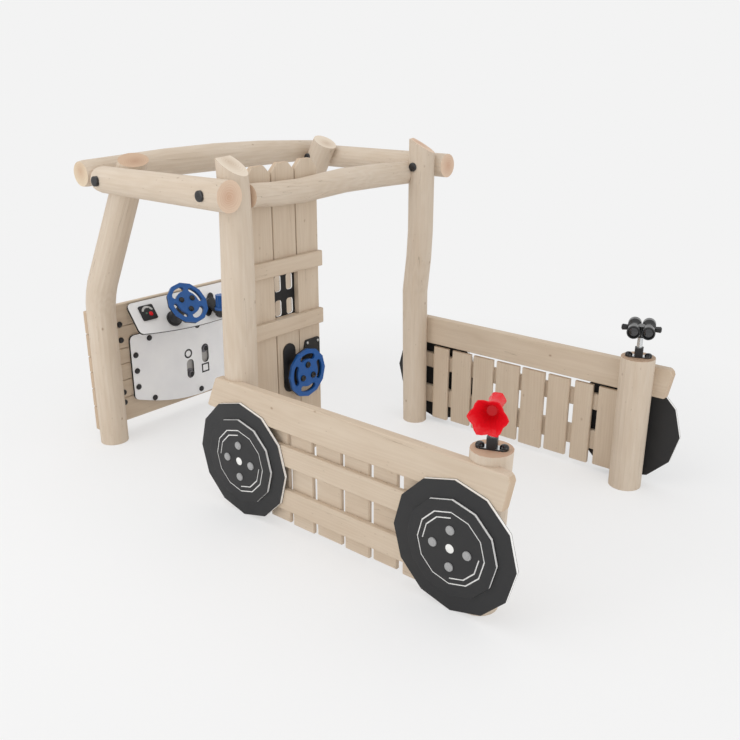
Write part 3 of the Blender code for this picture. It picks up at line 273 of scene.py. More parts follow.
    tree.links.new(bump.outputs[0], shader.inputs["Normal"])
    return made


X_AXIS, Y_AXIS, Z_AXIS = (1, 0, 0), (0, 1, 0), (0, 0, 1)
SAPWOOD = ("D6C8B7", "C0AC95")
SAWN_BOARD = ("D4C4B0", "BCA68E")
END_GRAIN = ("C9A186", "DEC4AC")
PALE_END = ("C6B19A", "E3D5C3")
OILED_END = ("C0A084", "DAC8AE")
DULL_END = ("AE8B72", "C6A98F")
BOARD_END = ("AE9277", "C4AD94")


def middle(node):
    low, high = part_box(node)
    return (low + high) / 2


def paint(node, material):
    """Give a solid one material in place of its own."""
    nodes[node].data.materials.clear()
    nodes[node].data.materials.append(material)


POST_R = 0.077               # radius of a front post
KINK = (0.82, math.tan(math.radians(29.5)))  # height and slope of its bend
for label in ("near", "far"):
    low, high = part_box("front_post_" + label)
    foot = (low.x + POST_R, (low.y + high.y) / 2, 0.0)
    ends = DULL_END if label == "near" else PALE_END
    paint("front_post_" + label, wood("robinia_post_front_" + label, Z_AXIS, foot, *SAPWOOD, ends, KINK,
                                      knots=0.8))
    for name, ends in (("mid_post_" + label, PALE_END if label == "near" else END_GRAIN),
                       ("tail_post_" + label, DULL_END)):
        paint(name, wood("robinia_" + name, Z_AXIS, tuple(middle(name)), *SAPWOOD, ends, knots=0.8))
    name = "roof_pole_" + label
    paint(name, wood("robinia_" + name, X_AXIS, tuple(middle(name)), *SAPWOOD, END_GRAIN, knots=0.8,
                     caps=ROOF_CAPS))
for name, ends in (("roof_pole_front", OILED_END), ("roof_pole_rear", END_GRAIN)):
    paint(name, wood("robinia_" + name, Y_AXIS, tuple(middle(name)), *SAPWOOD, ends, knots=0.8))
print("stems painted")

# %% [markdown]
# ## Sawn boards
# Rails, slats and planks are cut from wider stems, so the ring pattern runs past a board as long flames and
# lines. The pith of each board is put outside the board, a hand's breadth away, and each board gets its
# own.


# %% Boards
RAIL_FACE = 0.7423          # a slat panel's rails lie further out than this, and its slats further in


def board(node, along, pith, **more):
    offset = Vector(pith)
    material = wood("sawn_" + node, along, tuple(middle(node) + offset), *SAWN_BOARD, BOARD_END,
                    ring_mm=13.0, figure=0.26, **more)
    paint(node, material)


for index in range(1, 7):
    board(f"dash_plank_{index}", Y_AXIS, (0.06 + 0.02 * index, 0.0, 0.03 * (index % 3 - 1)), knots=0.8)
for index, label in enumerate(("near", "middle", "far")):
    board("back_plank_" + label, Z_AXIS, (0.07, 0.04 * (index - 1), 0.0), knots=0.8)
    board("dash_wedge_" + label, Z_AXIS, (0.05, 0.05, 0.0))
board("back_plank_middle_top", Z_AXIS, (0.07, 0.01, 0.0), knots=0.8)
board("back_batten_lower", Y_AXIS, (0.09, 0.0, 0.03))
board("back_batten_upper", Y_AXIS, (-0.08, 0.0, -0.04))
for label, side in (("near", -1), ("far", 1)):
    board(label + "_top_rail", X_AXIS, (0.0, side * 0.10, 0.05), knots=0.9)
    board(label + "_slat_panel", Z_AXIS, (0.03, side * 0.09, 0.0), knots=0.5, rails=(side, RAIL_FACE))
print("boards painted")

# %% [markdown]
# ## Sheet plastic
# The wheels, the dashboard and the window are cut from two-coloured polyethylene sheet: a thin skin on each
# side of a core in another colour. A cut edge or a routed groove shows the core. So one recipe measures how
# deep a point lies in the sheet and takes the skin's or the core's colour. The skins have a fine pressed
# grain that keeps them from shining.


# %% Two-coloured sheet
GRAIN_MM = 2.4              # pressed grain, drawn coarser than the real 0.5 mm


def reach(node, normal):
    """The lowest and highest distance of a solid along a direction."""
    spans = [Vector(normal).dot(vertex.co) for vertex in nodes[node].data.vertices]
    return min(spans), max(spans)


def grained(tree, shader, texture, strength=0.22):
    """Pressed grain for polyethylene: a fine bump and a little uneven gloss."""
    fine = add(tree, "ShaderNodeTexNoise", {"Vector": texture.outputs["Object"], "Scale": 1000.0 / GRAIN_MM,
                                            "Detail": 2.0})
    bump = add(tree, "ShaderNodeBump", {"Height": fine.outputs["Fac"], "Strength": strength,
                                        "Distance": 0.0006})
    tree.links.new(bump.outputs[0], shader.inputs["Normal"])
    wide = add(tree, "ShaderNodeTexNoise", {"Vector": texture.outputs["Object"], "Scale": 9.0, "Detail": 3.0})
    rough = add(tree, "ShaderNodeMapRange", {"Value": wide.outputs["Fac"], "From Min": 0.3, "From Max": 0.7,
                                             "To Min": 0.44, "To Max": 0.56})
    tree.links.new(rough.outputs[0], shader.inputs["Roughness"])
    return wide.outputs["Fac"]


def mottled(tree, wide, code, spread=0.07):
    """A colour that drifts slightly lighter and darker over the sheet."""
    base = linear(code)
    dark = tuple(part * (1 - spread) for part in base[:3]) + (1.0,)
    pale = tuple(min(1.0, part * (1 + spread)) for part in base[:3]) + (1.0,)
    return add(tree, "ShaderNodeMix", {0: wide, 6: dark, 7: pale}, data_type="RGBA").outputs[2]


def sheet(name, skin, core, normal, low, high, depth=0.0022):
    """Sheet plastic between two distances along its normal; deeper than depth it has the core's colour."""
    made, tree, shader = finish_material(name, Roughness=0.5, Specular_IOR_Level=0.35)
    texture = add(tree, "ShaderNodeTexCoord")
    wide = grained(tree, shader, texture)
    along = add(tree, "ShaderNodeVectorMath", {0: texture.outputs["Object"], 1: tuple(normal)},
                operation="DOT_PRODUCT")
    centred = add(tree, "ShaderNodeMath", {0: along.outputs["Value"], 1: (low + high) / 2},
                  operation="SUBTRACT")
    away = add(tree, "ShaderNodeMath", {0: centred.outputs[0]}, operation="ABSOLUTE")
    inside = add(tree, "ShaderNodeMath", {0: away.outputs[0], 1: (high - low) / 2 - depth},
                 operation="LESS_THAN")
    colour = add(tree, "ShaderNodeMix", {0: inside.outputs[0], 6: mottled(tree, wide, skin),
                                         7: mottled(tree, wide, core, 0.03)}, data_type="RGBA")
    tree.links.new(colour.outputs[2], shader.inputs["Base Color"])
    return made


def painted_sheet(node, name, skin, core, normal, depth=0.0022):
    low, high = reach(node, normal)
    paint(node, sheet(name, skin, core, normal, low, high, depth))


CHARCOAL, SHEET_WHITE, SHEET_BLACK = "29292A", "F4F3F1", "18181A"
DASH_SLOPE = math.radians(37.0)
DASH_NORMAL = (math.cos(DASH_SLOPE), 0.0, math.sin(DASH_SLOPE))
for label in ("near", "far"):
    for end in ("front", "rear"):
        painted_sheet(f"wheel_{end}_{label}", f"wheel_sheet_{end}_{label}", CHARCOAL, SHEET_WHITE, Y_AXIS)
painted_sheet("dash_panel_upper", "dashboard_sheet_upper", "F8FAFD", SHEET_BLACK, DASH_NORMAL, 0.0006)
painted_sheet("dash_panel_lower", "dashboard_sheet_lower", "F6F7FB", SHEET_BLACK, X_AXIS, 0.0006)
painted_sheet("window_frame", "window_sheet", SHEET_BLACK, SHEET_WHITE, X_AXIS, 0.0015)
print("sheets painted")

# %% [markdown]
# ## Moulded and turned parts
# The knobs, housings and the horn are moulded in one colour, and the small screws are zinc-plated steel or
# carry a black cap. They share the grain recipe with their own gloss, because a moulded part comes out of a
# textured tool.


# %% Plain plastics and metal
def plastic(name, code, roughness, grain=0.12, coat=0.0, shine=0.5):
    made, tree, shader = finish_material(name, Roughness=roughness, Specular_IOR_Level=shine,
                                         Coat_Weight=coat, Coat_Roughness=0.12)
    texture = add(tree, "ShaderNodeTexCoord")
    wide = grained(tree, shader, texture, grain)
    gloss = add(tree, "ShaderNodeMapRange", {"Value": wide, "From Min": 0.3, "From Max": 0.7,
                                             "To Min": roughness - 0.05, "To Max": roughness + 0.05})
    tree.links.new(gloss.outputs[0], shader.inputs["Roughness"])
    tree.links.new(mottled(tree, wide, code), shader.inputs["Base Color"])
    return made


def metal(name, code, roughness):
    made, tree, shader = finish_material(name, Metallic=1.0, Roughness=roughness)
    texture = add(tree, "ShaderNodeTexCoord")
    spangle = add(tree, "ShaderNodeTexNoise",
                  {"Vector": texture.outputs["Object"], "Scale": 160.0, "Detail": 3.0})
    rough = add(tree, "ShaderNodeMapRange", {"Value": spangle.outputs["Fac"], "From Min": 0.3,
                                             "From Max": 0.7,
                                             "To Min": roughness - 0.06, "To Max": roughness + 0.10})
    tree.links.new(rough.outputs[0], shader.inputs["Roughness"])
    tree.links.new(mottled(tree, spangle.outputs["Fac"], code, 0.10), shader.inputs["Base Color"])
    return made


BLACK_MOULDED = plastic("black_nylon", "1D1D1F", 0.42)
BLACK_SHEET = plastic("black_sheet", "1A1A1C", 0.50, 0.20)
BLUE_SHEET = plastic("blue_sheet", "0F559D", 0.40, 0.30)
BLUE_MOULDED = plastic("blue_nylon", "0F559D", 0.34)
RED_MOULDED = plastic("red_moulded", "E01522", 0.24, 0.03, shine=0.28)
GREY_CAP = plastic("grey_cap", "A3A3A3", 0.55)
BLACK_CAP = plastic("black_cap", "232224", 0.34)
WHITE_CAP = plastic("white_cap", "F0EFEC", 0.45)
ZINC = metal("galvanised_steel", "D6D8D9", 0.28)
GREY_BACK = plastic("grey_backing", "B4B2B1", 0.60)
BLACK_GLOSS = plastic("black_polished_nylon", "141415", 0.16, 0.02)
DIAL_GREY = plastic("dial_grey", "C9C8C6", 0.45)
GREEN_LAMP = plastic("green_lamp", "4E6B5C", 0.20, 0.02, 0.5)
LENS = plastic("smoked_lens", "17171B", 0.10, 0.0, 1.0)

for name in ("finger_plate", "back_bracket", "steering_rear_plate", "back_wheel_rear_plate"):
    paint(name, BLACK_SHEET)
for name in ("gauge_housing", "selector_housing", "steering_base", "steering_shaft", "back_wheel_shaft",
             "horn_foot", "bino_foot"):
    paint(name, BLACK_MOULDED)


SLIDER_CAP_R = 0.0155       # the black cap in the middle of a slider


def slider_finish(node):
    """A grey moulding whose middle is a black round cap, looking along X."""
    made, tree, shader = finish_material("two_tone_" + node, Roughness=0.45, Specular_IOR_Level=0.4)
    texture = add(tree, "ShaderNodeTexCoord")
    wide = grained(tree, shader, texture, 0.10)
    flat = add(tree, "ShaderNodeVectorMath", {0: texture.outputs["Object"], 1: (0.0, 1.0, 1.0)},
               operation="MULTIPLY")
    spot = middle(node)
    away = add(tree, "ShaderNodeVectorMath", {0: flat.outputs[0], 1: (0.0, spot.y, spot.z)},
               operation="DISTANCE")
    is_cap = add(tree, "ShaderNodeMath", {0: away.outputs["Value"], 1: SLIDER_CAP_R}, operation="LESS_THAN")
    colour = add(tree, "ShaderNodeMix", {0: is_cap.outputs[0], 6: mottled(tree, wide, "77757A"),
                                         7: mottled(tree, wide, "1B1B1D")}, data_type="RGBA")
    tree.links.new(colour.outputs[2], shader.inputs["Base Color"])
    return made


for name in ("slider_near", "slider_far"):
    paint(name, slider_finish(name))
paint("binoculars", BLACK_GLOSS)
for name in ("steering_front_plate", "back_wheel_front_plate"):
    paint(name, BLUE_SHEET)
paint("selector_knob", BLUE_MOULDED)
paint("horn_bell", RED_MOULDED)
for name in ("horn_tube", "bino_tube"):
    paint(name, ZINC)
print("materials:", len(bpy.data.materials))

# %% [markdown]
# ## Tools for small pieces
# Screws, caps and routed lines are modelled by hand in edit mode: a profile is spun into a turned part, or
# a plain shape is inset and pushed in. Each is made once at the origin with its axis up, and then a copy
# with a mesh of its own is set down on each place, so a pattern never slides when the piece moves.


# %% Helpers for modelling
def alone():
    """Leave edit mode and select nothing."""
    if bpy.context.object and bpy.context.object.mode != "OBJECT":
        bpy.ops.object.mode_set(mode="OBJECT")
    bpy.ops.object.select_all(action="DESELECT")


def pick(test):
    """In edit mode, select the faces that pass a test of their centre and normal; returns how many."""
    mesh = bmesh.from_edit_mesh(bpy.context.object.data)
    bpy.context.tool_settings.mesh_select_mode = (False, False, True)
    bpy.ops.mesh.select_all(action="DESELECT")
    chosen = [face for face in mesh.faces if test(face.calc_center_median(), face.normal)]
    for face in chosen:
        face.select_set(True)
    bmesh.update_edit_mesh(bpy.context.object.data)
    return len(chosen)


def spun(name, profile, steps=24):
    """Turn a profile of (radius, height) pairs about Z, as on a lathe."""
    alone()
    bpy.ops.mesh.primitive_plane_add(size=0.002)
    piece = bpy.context.object
    piece.name = name
    bpy.ops.object.mode_set(mode="EDIT")
    bpy.context.tool_settings.mesh_select_mode = (True, False, False)
    bpy.ops.mesh.select_all(action="SELECT")
    bpy.ops.mesh.merge(type="CENTER")
    bpy.ops.transform.translate(value=(profile[0][0], 0.0, profile[0][1]))
    for (r0, z0), (r1, z1) in zip(profile, profile[1:]):
        bpy.ops.mesh.extrude_region_move(TRANSFORM_OT_translate={"value": (r1 - r0, 0.0, z1 - z0)})
    bpy.ops.mesh.select_all(action="SELECT")
    bpy.ops.mesh.spin(steps=steps, angle=2 * math.pi, center=(0.0, 0.0, 0.0), axis=(0.0, 0.0, 1.0))
    bpy.ops.mesh.select_all(action="SELECT")
    bpy.ops.mesh.remove_doubles(threshold=0.00002)
    bpy.ops.mesh.normals_make_consistent(inside=False)
    bpy.ops.object.mode_set(mode="OBJECT")
    bpy.ops.object.shade_smooth_by_angle(angle=math.radians(38))
    return piece


def settle(pattern, name, place, body, material):
    """Set a copy of a finished pattern down at a place, on a body."""
    piece = bpy.data.objects.new(name, pattern.data.copy())
    bpy.context.scene.collection.objects.link(piece)
    piece.data.transform(place)
    piece.data.name = name
    piece.data.materials.clear()
    piece.data.materials.append(material)
    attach(piece, body)
    return piece


def looking(spot, out, up=(0.0, 0.0, 1.0)):
    """A frame at a spot whose Z looks out of the surface and whose Y points up, or back if Z points up."""
    z_axis = Vector(out).normalized()
    if abs(z_axis.dot(Vector(up))) > 0.999:
        up = (0.0, 1.0, 0.0)
    x_axis = Vector(up).cross(z_axis).normalized()
    y_axis = z_axis.cross(x_axis)
    turn = Matrix((x_axis, y_axis, z_axis)).transposed().to_4x4()
    return Matrix.Translation(Vector(spot)) @ turn


def discard(*patterns):
    for pattern in patterns:
        bpy.data.objects.remove(pattern, do_unlink=True)


# %% [markdown]
# ## Screw caps
# Playground screws are sunk under round plastic caps, so that nothing catches on clothes. Each cap is a
# turned part with a flat foot, a round shoulder and a shallow dome with a small lid line.

# %% Model the caps
def cap_profile(radius, height):
    """Foot, shoulder, lid line and dome, from the outer foot up to the middle."""
    return [(0.0, 0.0), (radius, 0.0), (radius, height * 0.35), (radius * 0.94, height * 0.62),
            (radius * 0.80, height * 0.84), (radius * 0.72, height * 0.86), (radius * 0.70, height * 0.80),
            (radius * 0.66, height * 0.88), (radius * 0.35, height), (0.0, height)]


cap = spun("cap_pattern", cap_profile(1.0, 1.0), 28)


def set_cap(name, spot, out, radius, height, body, material=BLACK_CAP):
    size = Matrix.Diagonal((radius, radius, height, 1.0))
    return settle(cap, name, looking(spot, out) @ size, body, material)


LIFT = 0.0003               # a cap's foot stands this far off its surface
wall_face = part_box("dash_plank_1")[1].x
panel_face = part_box("dash_panel_lower")[1].x
for label, side in (("near", -1), ("far", 1)):
    for index, height in enumerate((0.646, 0.553, 0.239, 0.177)):
        spot = (wall_face + LIFT, side * (0.535 if height > 0.4 else 0.551), height)
        set_cap(f"wall_cap_{label}_{index + 1}", spot, X_AXIS, 0.017, 0.011, "frame")
    for index, (y, z) in enumerate(((0.3545, 0.527), (0.457, 0.446), (0.457, 0.349), (0.457, 0.250),
                                    (0.3505, 0.151))):
        spot = (panel_face + LIFT, side * y, z)
        set_cap(f"panel_cap_{label}_{index + 1}", spot, X_AXIS, 0.017, 0.010, "frame")
for index, z in enumerate((0.107, 0.523)):
    set_cap(f"panel_cap_middle_{index + 1}", (panel_face + LIFT, 0.0, z), X_AXIS, 0.017, 0.010, "frame")
print("caps set")

# %% [markdown]
# ## Play wheel screws and bracket screws
# Three black domed nuts hold each blue wheel to its flange. They turn with the wheel, so they ride on its
# body. The bracket on the back wall shows two small steel screws.


# %% Screws on the wheels and the bracket
def wheel_face(node, pivot, axis):
    """The middle of a wheel's outer face: its pivot pushed out along the axis to the plate's far side."""
    out = Vector(axis).normalized()
    pivot = Vector(pivot)
    return pivot + out * (reach(node, out)[1] - out.dot(pivot)), out


NUT_CIRCLE = 0.042          # radius of the circle that a wheel's three nuts stand on
WHEELS = (("steering", "steering_wheel", "steering_front_plate",
           (-1.14245, -0.2256, 0.74269), (0.79864, 0.0, 0.60182), -63.0),
          ("back_wheel", "back_play_wheel", "back_wheel_front_plate",
           (-0.1767, -0.255, 0.559), X_AXIS, 0.0))
for label, body, node, pivot, axis, turn in WHEELS:
    spot, out = wheel_face(node, pivot, axis)
    face = looking(spot + out * 0.0001, out)
    for index in range(3):
        angle = math.radians(90.0 + turn + 120.0 * index)
        place = face @ Matrix.Translation((NUT_CIRCLE * math.cos(angle), NUT_CIRCLE * math.sin(angle), 0.0))
        settle(cap, f"{label}_nut_{index + 1}", place @ Matrix.Diagonal((0.0165, 0.0165, 0.0095, 1.0)),
               body, BLACK_GLOSS)
bracket_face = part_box("back_bracket")[0].x + 0.008
for index, (y, z) in enumerate(((-0.204, 0.695), (-0.128, 0.692))):
    set_cap(f"bracket_screw_{index + 1}", (bracket_face + 0.0001, y, z), X_AXIS, 0.0075, 0.004, "frame", ZINC)

# %% [markdown]
# ## Caps and nuts on the poles, and the two foot plates
# The bolt through a roof pole is sunk under a thick cap outside and ends in a round nut on the inner side
# of its post. A steel plate with round ends lies on each fitting's foot, and tall polished domes cover its
# two screws.

# %% Set the caps, nuts and foot screws
CAP_FOOT_Y = 0.8455          # a roof cap's foot, inside the pole's outer side
NUT_SPOTS = (("front_post_", -0.962, 1.510), ("mid_post_", -0.166, 1.508))


drum = spun("drum_pattern", [(0.0, 0.0), (1.0, 0.0), (1.0, 0.82), (0.97, 0.93), (0.88, 0.985), (0.60, 1.0),
                             (0.0, 1.0)],
            28)


def struck(node, start, way):
    """Where a straight line from a place first meets a solid."""
    hit, spot, _, _ = nodes[node].ray_cast(Vector(start), Vector(way))
    return spot if hit else None


for label, side in (("near", -1), ("far", 1)):
    for index, (x, z) in enumerate(ROOF_CAPS):
        place = looking((x, side * CAP_FOOT_Y, z), (0.0, side, 0.0))
        place = place @ Matrix.Diagonal((0.0245, 0.0245, 0.0202, 1.0))
        settle(drum, f"roof_cap_{label}_{index + 1}", place, "frame", BLACK_CAP)
    for post, x, z in NUT_SPOTS:
        spot = struck(post + label, (x, 0.0, z), (0.0, side, 0.0))
        print(post + label, "inner side at", spot)
        if spot:
            set_cap(f"{post}nut_{label}", spot - Vector((0.0, side * 0.0005, 0.0)), (0.0, -side, 0.0),
                    0.024, 0.012, "frame")

FOOT_TURN = math.radians(21.2)
FOOT_SIZE = (0.121, 0.039, 0.0006)
dome = spun("dome_pattern", [(0.0, 0.0), (1.0, 0.0), (1.0, 0.22), (0.95, 0.46), (0.82, 0.70), (0.60, 0.88),
                             (0.30, 0.97), (0.0, 1.0)], 28)
alone()
bpy.ops.mesh.primitive_cube_add(size=1.0, scale=FOOT_SIZE, location=(0.0, 0.0, FOOT_SIZE[2] / 2))
foot_plate = bpy.context.object
foot_plate.name = "foot_plate_pattern"
bpy.ops.object.transform_apply(location=True, rotation=True, scale=True)
bpy.ops.object.mode_set(mode="EDIT")
bpy.context.tool_settings.mesh_select_mode = (False, True, False)
bpy.ops.mesh.select_all(action="DESELECT")
mesh = bmesh.from_edit_mesh(foot_plate.data)
for edge in mesh.edges:
    edge.select_set(abs(edge.verts[0].co.z - edge.verts[1].co.z) > 0.0001)
bmesh.update_edit_mesh(foot_plate.data)
bpy.ops.mesh.bevel(offset=FOOT_SIZE[1] * 0.47, segments=8, affect="EDGES")
bpy.ops.object.mode_set(mode="OBJECT")

for label in ("horn", "bino"):
    low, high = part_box(label + "_foot")
    foot = Matrix.Translation((*((low + high) / 2).xy, low.z + 0.0051)) @ Matrix.Rotation(FOOT_TURN, 4, "Z")
    settle(foot_plate, f"{label}_foot_plate", foot, "frame", ZINC)
    for index, along in enumerate((-0.046, 0.046)):
        place = foot @ Matrix.Translation((along, 0.0, FOOT_SIZE[2]))
        place = place @ Matrix.Diagonal((0.0180, 0.0180, 0.0165, 1.0))
        settle(dome, f"{label}_foot_dome_{index + 1}", place, "frame", BLACK_GLOSS)
discard(drum, dome, foot_plate)

# %% [markdown]
# ## Signs on the lower panel
# A circle and a square are routed beside the two slots, so a child can name where each slider goes. The
# router shows the black core. A thin grey sheet closes the slots from behind.

# %% Model the signs and the slot backing
ring = spun("ring_pattern", [(0.0192, 0.0), (0.0192, 0.0004), (0.0294, 0.0004), (0.0294, 0.0),
                             (0.0192, 0.0)], 40)
settle(ring, "panel_circle", looking((panel_face, -0.081, 0.3595), X_AXIS), "frame", BLACK_SHEET)
half = 0.029 * math.sqrt(2)
inner = 0.0198 * math.sqrt(2)
square = spun("square_pattern", [(inner, 0.0), (inner, 0.0004), (half, 0.0004), (half, 0.0), (inner, 0.0)], 4)
eighth_turn = Matrix.Rotation(math.pi / 4, 4, "Z")
settle(square, "panel_square", looking((panel_face, 0.045, 0.237), X_AXIS) @ eighth_turn,
       "frame", BLACK_SHEET)
discard(ring, square)

alone()
bpy.ops.mesh.primitive_cube_add(size=1.0, location=(wall_face + 0.00015, -0.011, 0.296),
                                scale=(0.0002, 0.210, 0.290))
backing = bpy.context.object
backing.name = "slot_backing"
bpy.ops.object.transform_apply(location=True, rotation=True, scale=True)
bpy.ops.object.mode_set(mode="EDIT")
bpy.ops.mesh.select_all(action="SELECT")
bpy.ops.mesh.subdivide(number_cuts=1)
bpy.ops.object.mode_set(mode="OBJECT")
backing.data.materials.append(GREY_BACK)
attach(backing, "frame")

# %% [markdown]
# ## Dial
# The gauge is a black moulded box with a printed-looking dial: a grey scale, a black pointer and two small
# lamps. They are separate thin mouldings here, set on the face of the box.

# %% Model the dial
gauge_spot = middle("gauge_housing")
normal = Vector(DASH_NORMAL)
gauge_spot += normal * (reach("gauge_housing", DASH_NORMAL)[1] - normal.dot(gauge_spot) + 0.0001)
dial = looking(gauge_spot, normal)
scale_ring = spun("scale_pattern", [(0.027, 0.0), (0.027, 0.0006), (0.0395, 0.0006), (0.0395, 0.0),
                                    (0.027, 0.0)], 48)
alone()
bpy.context.view_layer.objects.active = scale_ring
scale_ring.select_set(True)
bpy.ops.object.mode_set(mode="EDIT")
bpy.context.tool_settings.mesh_select_mode = (False, False, True)
bpy.ops.mesh.select_all(action="SELECT")
bpy.ops.mesh.bisect(plane_co=(0.0, 0.010, 0.0), plane_no=(0.0, 1.0, 0.0), clear_inner=True, use_fill=True)
bpy.ops.object.mode_set(mode="OBJECT")
settle(scale_ring, "dial_scale", dial, "frame", DIAL_GREY)
lamp_pattern = spun("lamp_pattern", [(0.0, 0.0), (1.0, 0.0), (0.96, 0.35), (0.75, 0.75), (0.4, 0.95),
                                     (0.0, 1.0)], 24)
for name, x, y, radius, material in (("dial_lamp_red", 0.014, -0.012, 0.0135, RED_MOULDED),
                                     ("dial_lamp_green", -0.013, -0.004, 0.006, GREEN_LAMP)):
    place = dial @ Matrix.Translation((x, y, 0.0)) @ Matrix.Diagonal((radius, radius, 0.0035, 1.0))
    settle(lamp_pattern, name, place, "frame", material)
pointer = spun("pointer_pattern", [(0.0, 0.0), (0.0035, 0.0), (0.0030, 0.0010), (0.0, 0.0012)], 3)
place = dial @ Matrix.Rotation(math.radians(56.0), 4, "Z") @ Matrix.Translation((0.022, 0.0, 0.0007))
settle(pointer, "dial_pointer", place @ Matrix.Diagonal((5.2, 1.3, 1.0, 1.0)), "frame", BLACK_CAP)
discard(scale_ring, lamp_pattern, pointer)

# %% [markdown]
# ## Lenses
# The binoculars are one strong moulding, with a clear dark lens sunk into each end of each barrel.

# %% Model the lenses
lens = spun("lens_pattern", [(0.0, 0.0), (0.0222, 0.0), (0.0216, 0.0012), (0.0150, 0.0030), (0.0070, 0.0038),
                             (0.0, 0.0040)], 28)
BINO_HEAD = Vector((1.178, 0.6805, 0.836))
BARREL_SIDE, BARREL_END = 0.0335, 0.0801  # from the middle to a barrel's axis, and to its end
across = Vector((math.cos(FOOT_TURN), math.sin(FOOT_TURN), 0.0))
sight = Vector((math.sin(FOOT_TURN), -math.cos(FOOT_TURN), 0.0))
for side_label, offset in (("left", -BARREL_SIDE), ("right", BARREL_SIDE)):
    for end_label, way in (("front", 1), ("rear", -1)):
        spot = BINO_HEAD + across * offset + sight * way * BARREL_END
        settle(lens, f"lens_{side_label}_{end_label}", looking(spot, sight * way), "binocular_head", LENS)
discard(lens)
print("small pieces set")

# %% [markdown]
# ## Slats cut short
# The slats end a finger's width under the top rail, so light falls through the slit. A copy of each slat
# panel is merged, cut off level below the rail and closed again, and it stands in for the solid. The far
# middle rail is also planed down a little along its upper edge.

# %% Shorten the slats
SLIT = 0.0130
RAIL_EDGE, RAIL_SHAVE = 0.430, 0.009
for label in ("near", "far"):
    node = label + "_slat_panel"
    alone()
    piece = bpy.data.objects.new(label + "_slats_cut", nodes[node].data.copy())
    bpy.context.scene.collection.objects.link(piece)
    piece.data.name = piece.name
    bpy.context.view_layer.objects.active = piece
    piece.select_set(True)
    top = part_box(node)[1].z
    bpy.ops.object.mode_set(mode="EDIT")
    bpy.context.tool_settings.mesh_select_mode = (True, False, False)
    bpy.ops.mesh.select_all(action="SELECT")
    bpy.ops.mesh.remove_doubles(threshold=0.00001)
    bpy.ops.mesh.bisect(plane_co=(0.0, 0.0, top - SLIT), plane_no=(0.0, 0.0, 1.0), clear_outer=True,
                        use_fill=True)
    if label == "far":
        bpy.ops.mesh.select_all(action="DESELECT")
        mesh = bmesh.from_edit_mesh(piece.data)
        for vertex in mesh.verts:
            vertex.select_set(abs(vertex.co.z - RAIL_EDGE) < 0.0060)
        mesh.select_flush_mode()
        bmesh.update_edit_mesh(piece.data)
        bpy.ops.transform.translate(value=(0.0, 0.0, -RAIL_SHAVE))
    bpy.ops.mesh.select_all(action="SELECT")
    bpy.ops.mesh.normals_make_consistent(inside=False)
    bpy.ops.object.mode_set(mode="OBJECT")
    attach(piece, "frame")
    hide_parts(node)
    print(piece.name, "top", round(top - SLIT, 4), "faces", len(piece.data.polygons))

# %% [markdown]
# ## Hub discs
# Each wheel carries a smaller twelve-sided disc. A router has cut one closed line and two part lines into
# it, and they show the white core. The plain solid has no grooves, so a detailed disc stands in for it: a
# twelve-sided cylinder whose face is inset to the lines, which are then pushed in, with the outer edge
# eased.

# %% Model a hub disc
HUB_R, HUB_T = 0.207, 0.015
LINE_R, PART_R, LINE_W, LINE_DEEP = 0.1580, 0.1340, 0.0054, 0.0032
APOTHEM = math.cos(math.pi / 12)

alone()
bpy.ops.mesh.primitive_cylinder_add(vertices=12, radius=HUB_R, depth=HUB_T, location=(0.0, 0.0, HUB_T / 2))
hub = bpy.context.object
hub.name = "hub_pattern"
bpy.ops.object.transform_apply(location=True, rotation=True, scale=True)
bpy.ops.object.mode_set(mode="EDIT")
pick(lambda centre, normal: normal.z > 0.9)
edge = HUB_R * APOTHEM
for target in (LINE_R, PART_R):
    bpy.ops.mesh.inset(thickness=edge - target * APOTHEM)
    bpy.ops.mesh.inset(thickness=LINE_W)
    edge = target * APOTHEM - LINE_W


def on_line(centre, normal):
    """Faces of the closed line, and of the two quarters of the part line."""
    reach_out = math.hypot(centre.x, centre.y)
    angle = math.degrees(math.atan2(centre.y, centre.x)) % 360
    flat = normal.z > 0.9
    closed = abs(reach_out - (LINE_R * APOTHEM - LINE_W / 2)) < 0.001
    part = abs(reach_out - (PART_R * APOTHEM - LINE_W / 2)) < 0.001
    return flat and (closed or part and (90 < angle < 180 or 270 < angle < 360))


grooves = pick(on_line)
bpy.ops.mesh.extrude_region_move(TRANSFORM_OT_translate={"value": (0.0, 0.0, -LINE_DEEP)})
bpy.ops.object.mode_set(mode="OBJECT")
rim = hub.modifiers.new("eased_edge", "BEVEL")
rim.width = 0.0012
rim.segments = 2
rim.limit_method = "ANGLE"
rim.angle_limit = math.radians(60)
bpy.context.view_layer.objects.active = hub
hub.select_set(True)
bpy.ops.object.modifier_apply(modifier="eased_edge")
print("groove faces:", grooves)

bolt = spun("bolt_pattern", [(0.0, 0.0), (0.0190, 0.0), (0.0190, 0.0035), (0.0176, 0.0058), (0.0135, 0.0072),
                             (0.0120, 0.0070), (0.0105, 0.0088), (0.0060, 0.0096), (0.0, 0.0098)], 28)
plug = spun("plug_pattern", [(0.0, 0.0), (0.0190, 0.0), (0.0190, 0.0012), (0.0178, 0.0020), (0.0, 0.0022)],
            28)

